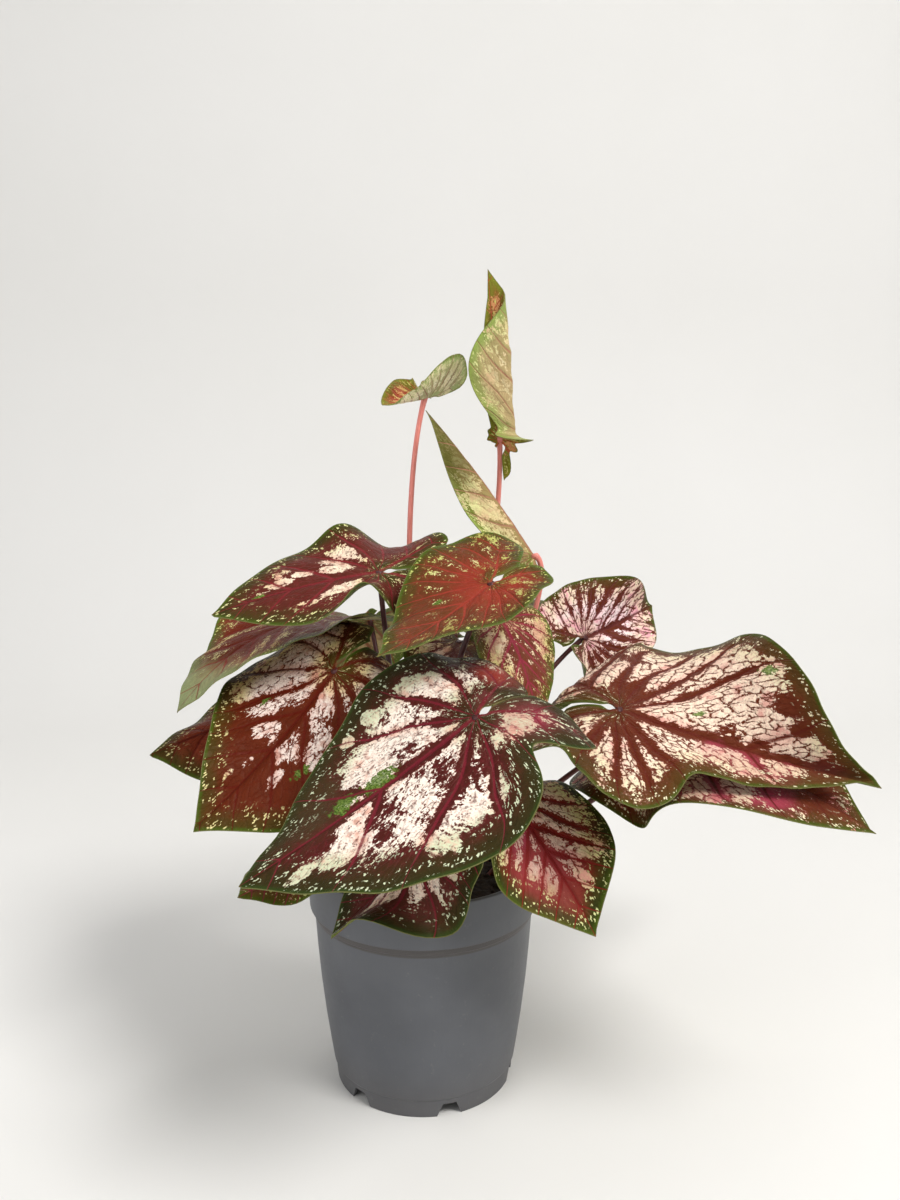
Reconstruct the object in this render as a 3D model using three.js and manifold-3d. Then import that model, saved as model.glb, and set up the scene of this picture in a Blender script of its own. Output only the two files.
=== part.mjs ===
// Potted caladium: a plastic nursery pot filled with soil, with heart-shaped leaves on long round stalks.
// Millimetres, +Z up. The origin is the middle of the pot's flat underside.
// Each leaf is two pieces: a thin blade and the petiole (stalk) that carries it.

import * as THREE from 'three';
import Module from 'manifold-3d';
import { mergeVertices } from 'three/addons/utils/BufferGeometryUtils.js';

// Driving dimensions
const POT_HEIGHT = 122;
const RIM_RADIUS = 61;
const COLLAR_HEIGHT = 24;
const BAND_HEIGHT = 4;
const BAND_INSET = 2.6;
const BASE_RADIUS = 47;
const BELLY = 1.2;
const WALL = 1.8;
const RIM_WALL = 2.2;
const EDGE = 0.6;
const FOOT_HEIGHT = 10;
const PAD_RADIUS = 28;
const FLOOR_RISE = 8;
const NOTCH_COUNT = 6;
const NOTCH_WIDTH = 13;
const NOTCH_SLOPE = 3;
const NOTCH_DEPTH = 12;
const NOTCH_PHASE = 17;
const DRAIN_COUNT = 6;
const DRAIN_RADIUS = 3.5;
const DRAIN_RING = 38;
const DRAIN_SIDES = 12;
const POT_SIDES = 44;

const SOIL_BELOW_RIM = 13;
const SOIL_CROWN = 2;
const CLEARANCE = 0.3;
const ROOT_DEPTH = 13;

const PETIOLE_RADIUS = 1.4;
const PETIOLE_SIDES = 7;
const PETIOLE_STEPS = 11;

const BLADE_THICKNESS = 0.9;
const BLADE_RINGS = 3;
const BLADE_SPOKES = 14;
const TIP_CROWDING = 1.25;
const CREASE = 5;
const FLAP_ARC = 8;
const SLIT = 1.6;
const SINUS = 0.45;
const SPIKE = 0.04;
const WAVE_HEIGHT = 1.5;
const WAVES_PER_SIDE = 5;
const STATIONS = [30, 70, 112, 152];
const STATION_SPREAD = 22;
const LOBE_AT = 140;
const LOBE_SPREAD = 28;
const NOTCH_FROM = 155;
const BACK_SHARE = 0.4;

const COLOURS = {
  pot: 0x626976,
  soil: 0x16100c,
  shade: 0x4a1f1f,
  young: 0xcd6e69,
  maroon: 0x4b232d,
  brown: 0x5f231a,
  red: 0x7d3728,
  olive: 0x645f23,
  pale: 0x96a57d,
};

// Each leaf: hub, where the petiole meets the blade, and tip; face, the heading and height of the upper
// face's normal in degrees; then bends in degrees, widths as shares of the hub-to-tip length, and at
// STATIONS along the margin, from tip to notch, its lift in mm and its bulge as a share. Pairs are
// [left, right], seen from above with the tip ahead. The petiole stands in the soil at root, sets out
// along rise and comes down to the hub from the point that fall gives, measured from the hub. A flap is
// a right half that turns over past its crease, by this many degrees, wave the height of the margin's
// small waves in mm, and grid the blade's rings and its spokes on each side.
const LEAVES = {
  front_large: {
    hub: [25, -94, 225], tip: [-71, -133, 165], face: [-128, 46],
    bow: -10, droop: 79, fold: [-9, -7], roll: [9, -19],
    curl: [15, 19], width: [0.46, 0.43], lobe: 0.08, full: 35,
    lift: [[0, -2, 0, 0], [4, 1, -9, -4]],
    bulge: [[0.11, 0.03, -0.49, 0], [0, 0, 0, 0]],
    root: [5, -21], rise: [0, -4, 70], fall: [-8, 42, -30],
    colour: 'maroon',
  },
  right_large: {
    hub: [94, -45, 214], tip: [204, -88, 191], face: [-73, 52],
    bow: -10, droop: 71, fold: [-10, 6], roll: [109, -33],
    curl: [-22, 1], width: [0.57, 0.43], lobe: 0.13, full: 36,
    lift: [[-4, -2, 3, -3], [10, 2, 5, -5]],
    bulge: [[0, 0, 0.03, 0], [-0.33, 0, -0.28, 0]],
    root: [24, -5], rise: [5, 3, 80], fall: [-34, 12, -14],
    colour: 'brown',
  },
  right_under: {
    hub: [109, -21, 190], tip: [203, -85, 168], face: [-93, 44],
    bow: 64, droop: 20, fold: [-5, 0], roll: [-2, 4],
    curl: [-14, 35], width: [0.45, 0.3], lobe: 0.12, full: 31,
    lift: [[-2, 0, 0, 0], [12, -28, 0, 0]],
    bulge: [[-0.03, 0, 0, 0], [0.03, 0, 0, 0]],
    root: [27, 3], rise: [25, -3, 45], fall: [-8, 6, -35],
    colour: 'brown',
  },
  left_large: {
    hub: [-43, -22, 227], tip: [-105, -66, 163], face: [-125, 29],
    bow: -22, droop: 67, fold: [-13, -5], roll: [-14, 67],
    curl: [-10, -23], width: [0.43, 0.48], lobe: 0.11, full: 41,
    lift: [[-3, 0, 0, -18], [-2, 0, 0, 0]],
    bulge: [[0.1, 0, 0, 0], [-0.05, 0.07, 0, 0]],
    root: [-20, -12], rise: [-2, 2, 55], fall: [10, 24, -30],
    colour: 'brown',
  },
  left_far: {
    hub: [-87, 25, 192], tip: [-146, 13, 172], face: [-124, 51],
    bow: 9, droop: 20, fold: [-9, -6], roll: [-8, -7],
    curl: [-19, -13], width: [0.49, 0.44], lobe: 0.12, full: 34,
    lift: [[-8, 0, 0, 0], [-3, 0, 0, 0]],
    bulge: [[0.06, 0, 0, 0], [0, 0, 0, 0]],
    root: [-26, 4], rise: [-14, 4, 48], fall: [22, 6, -26],
    colour: 'brown',
  },
  left_top: {
    hub: [-21, -9, 274], tip: [-103, -17, 254], face: [-102, 68],
    bow: 14, droop: 15, fold: [-3, 6], roll: [-8, 16],
    curl: [3, -41], width: [0.29, 0.43], lobe: 0.13, full: 33,
    lift: [[-4, 15, -15, 0], [0, 15, 0, 8]],
    bulge: [[0.07, -0.04, 0, 0], [0.03, 0, 0, 0]],
    root: [-9, 12], rise: [-2, 8, 75], fall: [2, 22, -50],
    colour: 'maroon',
  },
  left_hanging: {
    hub: [-60, 34, 242], tip: [-120, -31, 208], face: [-133, 50],
    bow: 45, droop: 17, fold: [4, -1], roll: [6, 7],
    curl: [10, -10], width: [0.45, 0.46], lobe: 0.12, full: 32,
    lift: [[0, 2, 0, 0], [-5, 4, 0, 0]],
    bulge: [[0, 0, 0, 0], [-0.06, 0.03, 0, 0]],
    root: [-22, 18], rise: [-4, 10, 60], fall: [6, 4, -45],
    colour: 'olive',
  },
  middle_red: {
    hub: [33, -42, 274], tip: [-18, -87, 250], face: [-123, 47],
    bow: -17, droop: 25, fold: [0, 4], roll: [4, -12],
    curl: [21, 8], width: [0.43, 0.54], lobe: 0.16, full: 26,
    lift: [[2, 0, 0, 1], [-3, 0, 0, 0]],
    bulge: [[0, 0, -0.16, -0.26], [0, 0, 0, 0.04]],
    root: [-3, -26], rise: [6, -10, 85], fall: [-19, 4, -34],
    colour: 'red',
  },
  middle_olive: {
    hub: [40, -11, 250], tip: [57, -43, 204], face: [-53, 18],
    bow: 27, droop: 18, fold: [-5, 0], roll: [0, -2],
    curl: [-13, -6], width: [0.48, 0.44], lobe: -0.05, full: 32,
    lift: [[-3, 2, 3, 0], [0, 5, 0, 0]],
    bulge: [[0, 0.05, 0, -0.5], [0, 0, 0, -0.5]],
    root: [20, -14], rise: [2, 0, 65], fall: [4, 6, -40],
    colour: 'olive',
  },
  middle_low: {
    hub: [19, 7, 235], tip: [5, -34, 214], face: [-101, 31],
    bow: 26, droop: 20, fold: [-3, -2], roll: [0, 2],
    curl: [-14, -8], width: [0.45, 0.52], lobe: 0.12, full: 35,
    lift: [[0, 0, 0, 2], [0, 1, 0, 0]],
    bulge: [[0, -0.3, -0.3, -0.7], [0, 0.05, 0, -0.5]],
    root: [-4, -5], rise: [2, 4, 50], fall: [-2, 4, -45],
    colour: 'brown',
  },
  right_cupped: {
    hub: [90, 59, 225], tip: [132, 96, 236], face: [-92, 8],
    bow: 23, droop: -17, fold: [1, 2], roll: [19, 5],
    curl: [-9, -3], width: [0.51, 0.37], lobe: 0.09, full: 37,
    lift: [[9, 0, 0, 0], [12, 0, 0, 12]],
    bulge: [[0.05, 0, 0, 0], [0.06, 0, 0, -0.04]],
    root: [20, 13], rise: [8, 4, 60], fall: [-30, -4, -22],
    colour: 'brown',
  },
  front_right: {
    hub: [43, -50, 171], tip: [80, -86, 120], face: [-51, 25],
    bow: 13, droop: 23, fold: [-2, 2], roll: [62, -12],
    curl: [-9, 6], width: [0.48, 0.45], lobe: 0.12, full: 39,
    lift: [[4, 2, -10, 0], [-4, 7, 0, 0]],
    bulge: [[0, 0, -0.13, -0.4], [0.05, -0.03, -0.1, -0.5]],
    root: [18, -25], rise: [4, -2, 32], fall: [-10, 10, -18],
    colour: 'brown',
  },
  left_old: {
    hub: [-58, -41, 135], tip: [-83, -77, 134], face: [-107, 59],
    bow: 1, droop: 20, fold: [0, -5], roll: [-6, -1],
    curl: [1, -15], width: [0.45, 0.44], lobe: 0.12, full: 33,
    lift: [[-6, 2, 0, 0], [0, 0, 0, 0]],
    bulge: [[0, 0, 0, 0], [0, 0, 0, 0]],
    root: [-18, -24], rise: [-8, -5, 45], fall: [10, 6, -8],
    colour: 'olive',
  },
  rim_front: {
    hub: [-3, -71, 153], tip: [-40, -86, 118], face: [-123, 59],
    bow: -15, droop: 12, fold: [-7, -3], roll: [22, 5],
    curl: [-23, -15], width: [0.67, 0.46], lobe: 0.2, full: 34,
    lift: [[18, -11, 6, -2], [2, 0, 0, 0]],
    bulge: [[0, 0, 0, -0.47], [0, 0, 0, -0.5]],
    root: [-10, -32], rise: [0, -4, 42], fall: [5, 16, -10],
    colour: 'brown',
  },
  young_folded: {
    hub: [1, 33, 359], tip: [-18, -4, 356], face: [-20, 80],
    bow: -4, droop: 16, fold: [61, 56], roll: [18, 24],
    curl: [12, 11], width: [0.57, 0.4], lobe: 0.13, full: 30,
    lift: [[-4, 0, 2, 0], [-3, 0, 0, 0]],
    bulge: [[-0.1, 0, 0.08, 0.05], [0.2, -0.42, -0.5, -0.3]],
    root: [-5, 24], rise: [-1, 2, 110], fall: [-14, 0, -52],
    colour: 'pale', young: true,
  },
  young_tall: {
    hub: [40, 30, 337], tip: [33, 24, 420], face: [-85, 0],
    bow: 4, droop: 0, fold: [10, 10], roll: [10, 0],
    curl: [10, 10], width: [0.12, 0.58], lobe: -0.4, full: 18,
    lift: [[0, 0, 0, 0], [0, 0, 0, 0]],
    bulge: [[-0.6, -0.4, -0.4, -0.5], [0.08, -0.56, -0.76, -0.7]],
    flap: 162, wave: 0, grid: [5, 24],
    root: [12, 34], rise: [14, 0, 100], fall: [3, 6, -45],
    colour: 'pale', young: true,
  },
  young_rolled: {
    hub: [56, 12, 278], tip: [3, 20, 350], face: [165, -30],
    bow: -8, droop: -35, fold: [66, 68], roll: [0, 0],
    curl: [10, -15], width: [0.1, 0.14], lobe: 0.1, full: 22,
    lift: [[0, 0, 0, 0], [0, 0, 0, 0]],
    bulge: [[0, 0, -0.2, -0.4], [0.2, 0, -0.2, -0.4]],
    root: [16, 18], rise: [12, 5, 80], fall: [16, 0, -12],
    colour: 'pale', young: true,
  },
  back_left: {
    hub: [-33, 89, 229], tip: [-59, 129, 166], face: [110, 34],
    bow: 25, droop: 20, fold: [-5, -5], roll: [0, 0],
    curl: [-15, -15], width: [0.34, 0.42], lobe: 0.12, full: 32,
    lift: [[0, 0, 0, 0], [0, 0, 0, 0]],
    bulge: [[0, 0, -0.45, -0.6], [0, 0, 0, 0]],
    root: [-15, 30], rise: [-12, 8, 70], fall: [12, -14, -45],
    colour: 'olive',
  },
  back_middle: {
    hub: [40, 90, 241], tip: [36, 152, 200], face: [95, 55],
    bow: 25, droop: 20, fold: [-5, -5], roll: [0, 0],
    curl: [-15, -15], width: [0.45, 0.45], lobe: 0.12, full: 32,
    lift: [[0, 0, 0, 0], [0, 0, 0, 0]],
    bulge: [[0, 0, 0, 0], [0, 0, 0, 0]],
    root: [2, 33], rise: [2, 6, 80], fall: [-4, -20, -45],
    colour: 'brown',
  },
  back_right: {
    hub: [128, 48, 189], tip: [205, 100, 168], face: [60, 50],
    bow: 25, droop: 20, fold: [-5, -5], roll: [0, 0],
    curl: [-15, -15], width: [0.45, 0.45], lobe: 0.12, full: 32,
    lift: [[0, 0, 0, 0], [0, 0, 0, 0]],
    bulge: [[0, 0, 0, 0], [0, 0, 0, 0]],
    root: [28, 20], rise: [20, 6, 50], fall: [-26, -8, -26],
    colour: 'brown',
  },
};

const wasm = await Module();
wasm.setup();

const radians = THREE.MathUtils.degToRad;
const smooth = (from, to, value) => THREE.MathUtils.smoothstep(value, from, to);

function pointed(geometry) {
  const bare = geometry.clone();
  bare.deleteAttribute('normal');
  bare.deleteAttribute('uv');
  return mergeVertices(bare, 1e-4);
}

// A closed geometry as a solid that can be cut and joined
function solid(geometry) {
  const merged = pointed(geometry);
  const index = merged.index.array;
  const kept = [];
  for (let i = 0; i < index.length; i += 3) {
    const [a, b, c] = [index[i], index[i + 1], index[i + 2]];
    if (a !== b && b !== c && c !== a) kept.push(a, b, c);
  }
  const vertProperties = new Float32Array(merged.attributes.position.array);
  const mesh = new wasm.Mesh({ numProp: 3, vertProperties, triVerts: new Uint32Array(kept) });
  return new wasm.Manifold(mesh);
}

function geometryOf(manifold) {
  const mesh = manifold.getMesh();
  const geometry = new THREE.BufferGeometry();
  geometry.setAttribute('position', new THREE.BufferAttribute(new Float32Array(mesh.vertProperties), 3));
  geometry.setIndex(new THREE.BufferAttribute(new Uint32Array(mesh.triVerts), 1));
  geometry.computeVertexNormals();
  return geometry;
}

function turned(profile) {
  const points = profile.map(([radius, height]) => new THREE.Vector2(radius, height));
  return new THREE.LatheGeometry(points, POT_SIDES).rotateX(Math.PI / 2);
}

// Pot
const COLLAR_BOTTOM = POT_HEIGHT - COLLAR_HEIGHT;
const BAND_BOTTOM = COLLAR_BOTTOM - BAND_HEIGHT;
const INNER_STEP = COLLAR_BOTTOM + 1;
const FLOOR_TOP = FLOOR_RISE + WALL;
const WALL_STATIONS = [0.14, 0.32, 0.55, 0.78, 1].map(
  (t) => THREE.MathUtils.lerp(FOOT_HEIGHT + EDGE, BAND_BOTTOM, t),
);

// The tapered wall swells a little at half its height
function wallRadius(height) {
  const t = (height - FOOT_HEIGHT) / (BAND_BOTTOM - FOOT_HEIGHT);
  const taper = THREE.MathUtils.lerp(BASE_RADIUS + 1.6, RIM_RADIUS - BAND_INSET - 1, t);
  return taper + BELLY * Math.sin(Math.PI * t);
}

// Inside of the collar, which leans in a little towards its bottom
const collarInside = (height) => RIM_RADIUS - RIM_WALL - (POT_HEIGHT - height) / COLLAR_HEIGHT;

function potProfile() {
  const foot = BASE_RADIUS + 0.8;
  return [
    [0, 0],
    [PAD_RADIUS, 0],
    [PAD_RADIUS + 2.5, FLOOR_RISE],
    [BASE_RADIUS - 2.6, FLOOR_RISE],
    [BASE_RADIUS - 2.2, 0],
    [BASE_RADIUS, 0],
    [foot, FOOT_HEIGHT - EDGE],
    [foot + 0.9, FOOT_HEIGHT + EDGE],
    ...WALL_STATIONS.map((height) => [wallRadius(height), height]),
    [RIM_RADIUS - BAND_INSET, BAND_BOTTOM + EDGE],
    [RIM_RADIUS - BAND_INSET, COLLAR_BOTTOM - EDGE],
    [RIM_RADIUS - 1, COLLAR_BOTTOM],
    [RIM_RADIUS, POT_HEIGHT - EDGE],
    [RIM_RADIUS - EDGE, POT_HEIGHT],
    [RIM_RADIUS - RIM_WALL + EDGE, POT_HEIGHT],
    [collarInside(POT_HEIGHT), POT_HEIGHT - EDGE],
    [collarInside(INNER_STEP), INNER_STEP],
    ...WALL_STATIONS.toReversed().map((height) => [wallRadius(height) - WALL, height]),
    [BASE_RADIUS - 1, FLOOR_TOP],
    [PAD_RADIUS + 1.2, FLOOR_TOP],
    [PAD_RADIUS - 1.3, WALL],
    [0, WALL],
  ];
}

// A short trapezoid opening at the foot, wider at the floor than at its top
function notchCutter(angle) {
  const shape = new THREE.Shape();
  shape.moveTo(-NOTCH_WIDTH / 2, -1);
  shape.lineTo(NOTCH_WIDTH / 2, -1);
  shape.lineTo(NOTCH_WIDTH / 2 - NOTCH_SLOPE, FLOOR_RISE - 1);
  shape.lineTo(NOTCH_SLOPE - NOTCH_WIDTH / 2, FLOOR_RISE - 1);
  const cutter = new THREE.ExtrudeGeometry(shape, { depth: NOTCH_DEPTH, bevelEnabled: false });
  cutter.rotateX(Math.PI / 2).translate(0, NOTCH_DEPTH / 2 - BASE_RADIUS, 0);
  return solid(cutter.rotateZ(angle));
}

function drainCutter(angle) {
  const cutter = new THREE.CylinderGeometry(DRAIN_RADIUS, DRAIN_RADIUS, FLOOR_RISE, DRAIN_SIDES);
  return solid(cutter.rotateX(Math.PI / 2).translate(0, -DRAIN_RING, FLOOR_RISE).rotateZ(angle));
}

function pot() {
  let body = solid(turned(potProfile()));
  for (let i = 0; i < NOTCH_COUNT; i += 1) {
    body = body.subtract(notchCutter(radians(NOTCH_PHASE + (i * 360) / NOTCH_COUNT)));
  }
  for (let i = 0; i < DRAIN_COUNT; i += 1) {
    body = body.subtract(drainCutter(radians(NOTCH_PHASE + ((i + 0.5) * 360) / DRAIN_COUNT)));
  }
  return geometryOf(body);
}

// Petioles
const SOIL_TOP = POT_HEIGHT - SOIL_BELOW_RIM;

function frameOf(leaf) {
  const hub = new THREE.Vector3(...leaf.hub);
  const ahead = new THREE.Vector3(...leaf.tip).sub(hub);
  const chord = ahead.length();
  ahead.normalize();
  const [heading, height] = leaf.face.map(radians);
  const up = new THREE.Vector3(
    Math.cos(height) * Math.cos(heading),
    Math.cos(height) * Math.sin(heading),
    Math.sin(height),
  );
  up.addScaledVector(ahead, -up.dot(ahead)).normalize();
  const left = new THREE.Vector3().crossVectors(up, ahead);
  return { hub, ahead, up, left, chord };
}

// The normal of a midrib that climbs at the angle pitch
function leaning({ ahead, up }, pitch) {
  return up.clone().multiplyScalar(Math.cos(pitch)).addScaledVector(ahead, -Math.sin(pitch));
}

// From the bottom of its hole in the soil to just under the blade, which it meets on the slant
function petiolePath(leaf) {
  const normal = leaning(frameOf(leaf), radians(leaf.bow) / 2);
  const start = new THREE.Vector3(leaf.root[0], leaf.root[1], SOIL_TOP - ROOT_DEPTH);
  const first = new THREE.Vector3(...leaf.rise).add(start);
  const fall = new THREE.Vector3(...leaf.fall);
  const slant = Math.sin(fall.angleTo(normal));
  const under = BLADE_THICKNESS / 2 + CLEARANCE + PETIOLE_RADIUS * slant;
  const end = new THREE.Vector3(...leaf.hub).addScaledVector(normal, -under);
  return new THREE.CubicBezierCurve3(start, first, end.clone().add(fall), end);
}

function tube(path, radius) {
  const ring = new THREE.Shape();
  for (let i = 0; i < PETIOLE_SIDES; i += 1) {
    const angle = (i * 2 * Math.PI) / PETIOLE_SIDES;
    const point = [radius * Math.cos(angle), radius * Math.sin(angle)];
    if (i === 0) ring.moveTo(...point);
    else ring.lineTo(...point);
  }
  ring.closePath();
  return new THREE.ExtrudeGeometry(ring, {
    steps: PETIOLE_STEPS,
    bevelEnabled: false,
    extrudePath: path,
  });
}

// Soil, with a plain hole for each petiole
function soil() {
  const edge = SOIL_TOP - 1;
  let body = solid(turned([
    [0, WALL + CLEARANCE],
    [PAD_RADIUS - 1.6, WALL + CLEARANCE],
    [PAD_RADIUS + 0.9, FLOOR_TOP + CLEARANCE],
    [BASE_RADIUS - 1.5, FLOOR_TOP + CLEARANCE],
    ...WALL_STATIONS.map((height) => [wallRadius(height) - WALL - CLEARANCE, height]),
    [collarInside(INNER_STEP) - CLEARANCE, INNER_STEP],
    [collarInside(edge) - CLEARANCE, edge],
    [RIM_RADIUS * 0.7, SOIL_TOP + SOIL_CROWN * 0.6],
    [RIM_RADIUS * 0.35, SOIL_TOP + SOIL_CROWN],
    [0, SOIL_TOP + SOIL_CROWN],
  ]));
  for (const leaf of Object.values(LEAVES)) {
    const path = petiolePath(leaf);
    const down = path.getTangent(0).multiplyScalar(-CLEARANCE);
    const cutter = tube(path, PETIOLE_RADIUS + CLEARANCE).translate(down.x, down.y, down.z);
    body = body.subtract(solid(cutter));
  }
  return geometryOf(body);
}

// Blades
// Sine and cosine of a bend that starts at an angle and turns evenly, summed over a length
function arc(length, angle, turn) {
  const rate = Math.abs(turn) < 1e-6 ? 1e-6 : turn;
  const end = angle + rate * length;
  return [(Math.sin(end) - Math.sin(angle)) / rate, (Math.cos(angle) - Math.cos(end)) / rate];
}

const bumps = (degrees, amounts) => amounts.reduce(
  (sum, amount, i) => sum + amount * Math.exp(-(((degrees - STATIONS[i]) / STATION_SPREAD) ** 2)),
  0,
);

// How far the margin lies from the hub, as a share of the hub-to-tip length, at an angle from the tip
function reach(leaf, side, degrees) {
  const width = leaf.width[side];
  const point = (1 - width - SPIKE) * Math.exp(-degrees / leaf.full) + SPIKE * Math.exp(-degrees / 5);
  const lobe = 1 + leaf.lobe * Math.exp(-(((degrees - LOBE_AT) / LOBE_SPREAD) ** 2));
  const notch = 1 - SINUS * smooth(NOTCH_FROM, 180, degrees);
  return (width + point) * lobe * notch * (1 + bumps(degrees, leaf.bulge[side]));
}

// A point of the blade's middle surface: ring from 0 at the hub to 1 at the margin, spoke from -1 to 1
function bladePoint(leaf, frame, length, ring, spoke) {
  const side = spoke < 0 ? 0 : 1;
  const degrees = Math.abs(spoke) * 180;
  const radius = ring * reach(leaf, side, degrees) * length;
  const slit = THREE.MathUtils.radToDeg(Math.asin(Math.min(1, SLIT / Math.max(radius, SLIT))));
  const angle = radians(Math.abs(spoke) * (180 - Math.min(slit, 60)));
  const x = radius * Math.cos(angle);
  const y = radius * Math.sin(angle);

  // Along the midrib
  const bow = radians(leaf.bow);
  const frontTurn = -bow / length;
  const backTurn = radians(leaf.droop) / (BACK_SHARE * length);
  const front = Math.max(x, 0);
  const back = Math.max(-x, 0);
  const [frontAhead, frontUp] = arc(front, bow / 2, frontTurn);
  const [backAhead, backUp] = arc(back, bow / 2, backTurn);
  const pitch = bow / 2 + frontTurn * front + backTurn * back;

  // Across it: a crease beside the midrib, an even curl and any flap, then the margin's lifts and waves
  const fold = radians(leaf.fold[side] + leaf.roll[side] * smooth(0, 1, x / length));
  const curl = radians(leaf.curl[side]) / (leaf.width[side] * length);
  const over = radians(side === 1 ? leaf.flap ?? 0 : 0) * smooth(-CREASE, CREASE, x);
  const stretches = [
    arc(Math.min(y, CREASE), 0, fold / CREASE),
    arc(THREE.MathUtils.clamp(y - CREASE, 0, FLAP_ARC), fold, over / FLAP_ARC + curl),
    arc(Math.max(y - CREASE - FLAP_ARC, 0), fold + over + curl * FLAP_ARC, curl),
  ];
  const [out, rise] = [0, 1].map((k) => stretches.reduce((sum, stretch) => sum + stretch[k], 0));
  const phase = radians(degrees) * WAVES_PER_SIDE + 1.5 * side;
  const wave = (leaf.wave ?? WAVE_HEIGHT) * Math.sin(phase) * smooth(4, 30, degrees);
  const lift = rise + ring * ring * (wave + bumps(degrees, leaf.lift[side]));

  const normal = leaning(frame, pitch);
  return frame.hub.clone()
    .addScaledVector(frame.ahead, frontAhead - backAhead)
    .addScaledVector(frame.up, frontUp - backUp)
    .addScaledVector(frame.left, side === 0 ? out : -out)
    .addScaledVector(normal, lift);
}

function blade(leaf) {
  const frame = frameOf(leaf);
  const bow = radians(leaf.bow);
  const length = Math.abs(bow) > 1e-6 ? (frame.chord * (bow / 2)) / Math.sin(bow / 2) : frame.chord;
  const [rings, spokes] = leaf.grid ?? [BLADE_RINGS, BLADE_SPOKES];
  const columns = 2 * spokes + 1;
  const middle = [frame.hub.clone()];
  for (let ring = 1; ring <= rings; ring += 1) {
    for (let i = 0; i < columns; i += 1) {
      const even = i / spokes - 1;
      const spoke = Math.sign(even) * Math.abs(even) ** TIP_CROWDING;
      middle.push(bladePoint(leaf, frame, length, ring / rings, spoke));
    }
  }

  // Triangles of the middle surface, facing up
  const at = (ring, i) => (ring === 0 ? 0 : 1 + (ring - 1) * columns + i);
  const sheet = [];
  for (let i = 0; i < columns - 1; i += 1) {
    sheet.push([0, at(1, i + 1), at(1, i)]);
    for (let ring = 1; ring < rings; ring += 1) {
      sheet.push([at(ring, i), at(ring, i + 1), at(ring + 1, i + 1)]);
      sheet.push([at(ring, i), at(ring + 1, i + 1), at(ring + 1, i)]);
    }
  }
  const sheetGeometry = new THREE.BufferGeometry().setFromPoints(middle);
  sheetGeometry.setIndex(sheet.flat());
  sheetGeometry.computeVertexNormals();
  const normals = sheetGeometry.attributes.normal;

  // The two faces, and the edge that closes them round the margin and the notch
  const count = middle.length;
  const offset = (i, share) => middle[i].clone().addScaledVector(
    new THREE.Vector3().fromBufferAttribute(normals, i),
    share * BLADE_THICKNESS,
  );
  const points = [
    ...middle.map((_, i) => offset(i, 0.5)),
    ...middle.map((_, i) => offset(i, -0.5)),
  ];
  const rim = [0];
  for (let ring = 1; ring <= rings; ring += 1) rim.push(at(ring, 0));
  for (let i = 1; i < columns; i += 1) rim.push(at(rings, i));
  for (let ring = rings - 1; ring >= 1; ring -= 1) rim.push(at(ring, columns - 1));
  const faces = [];
  for (const [a, b, c] of sheet) {
    faces.push([a, b, c]);
    faces.push([a + count, c + count, b + count]);
  }
  rim.forEach((a, i) => {
    const b = rim[(i + 1) % rim.length];
    faces.push([a, b, b + count]);
    faces.push([a, b + count, a + count]);
  });
  const geometry = new THREE.BufferGeometry().setFromPoints(points);
  geometry.setIndex(faces.flat());
  geometry.computeVertexNormals();
  return geometry;
}

// The plant in its pot
function finish(colour, roughness) {
  return new THREE.MeshStandardMaterial({ color: colour, roughness, metalness: 0 });
}

function named(name, geometry, material) {
  const mesh = new THREE.Mesh(geometry, material);
  mesh.name = name;
  return mesh;
}

const plant = new THREE.Group();
plant.add(named('pot', pot(), finish(COLOURS.pot, 0.5)));
plant.add(named('soil', soil(), finish(COLOURS.soil, 0.95)));
for (const [place, leaf] of Object.entries(LEAVES)) {
  const stalkColour = leaf.young ? COLOURS.young : COLOURS.shade;
  const stalk = tube(petiolePath(leaf), PETIOLE_RADIUS);
  plant.add(named(`petiole_${place}`, stalk, finish(stalkColour, 0.45)));
  plant.add(named(`blade_${place}`, blade(leaf), finish(COLOURS[leaf.colour], 0.5)));
}

export default plant;
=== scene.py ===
"""Potted caladium: a plastic nursery pot of soil with heart-shaped, patterned leaves on long petioles.

Each blade is a fine mesh on the same surface as its solid, with sunken veins and a raised rib below.
Its pattern is worked out from two coordinates on the flat leaf: the vein field and the margin.
Lengths are in millimetres up to the mesh, which is in metres.
"""

import math

import bmesh
import bpy
import numpy as np
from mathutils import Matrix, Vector


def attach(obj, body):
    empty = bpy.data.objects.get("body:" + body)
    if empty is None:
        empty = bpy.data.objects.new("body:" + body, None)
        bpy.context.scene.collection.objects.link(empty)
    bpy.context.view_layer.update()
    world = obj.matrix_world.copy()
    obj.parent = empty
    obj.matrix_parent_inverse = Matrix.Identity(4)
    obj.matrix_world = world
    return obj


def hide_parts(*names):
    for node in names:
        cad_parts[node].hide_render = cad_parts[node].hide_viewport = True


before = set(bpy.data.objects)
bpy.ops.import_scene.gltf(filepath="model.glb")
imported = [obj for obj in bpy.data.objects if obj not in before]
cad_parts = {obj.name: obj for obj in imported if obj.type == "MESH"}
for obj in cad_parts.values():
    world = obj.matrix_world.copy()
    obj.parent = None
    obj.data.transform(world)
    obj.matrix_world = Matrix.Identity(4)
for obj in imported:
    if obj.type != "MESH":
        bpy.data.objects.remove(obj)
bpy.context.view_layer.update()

MM = 0.001

# Camera, fitted to the pot's rings
CAMERA_PLACE = (14, -561, 364)
CAMERA_DOWN = 10.7
CAMERA_FOCAL_PX = 1130
PHOTO_HEIGHT_PX = 1200
SENSOR = 36

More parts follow.
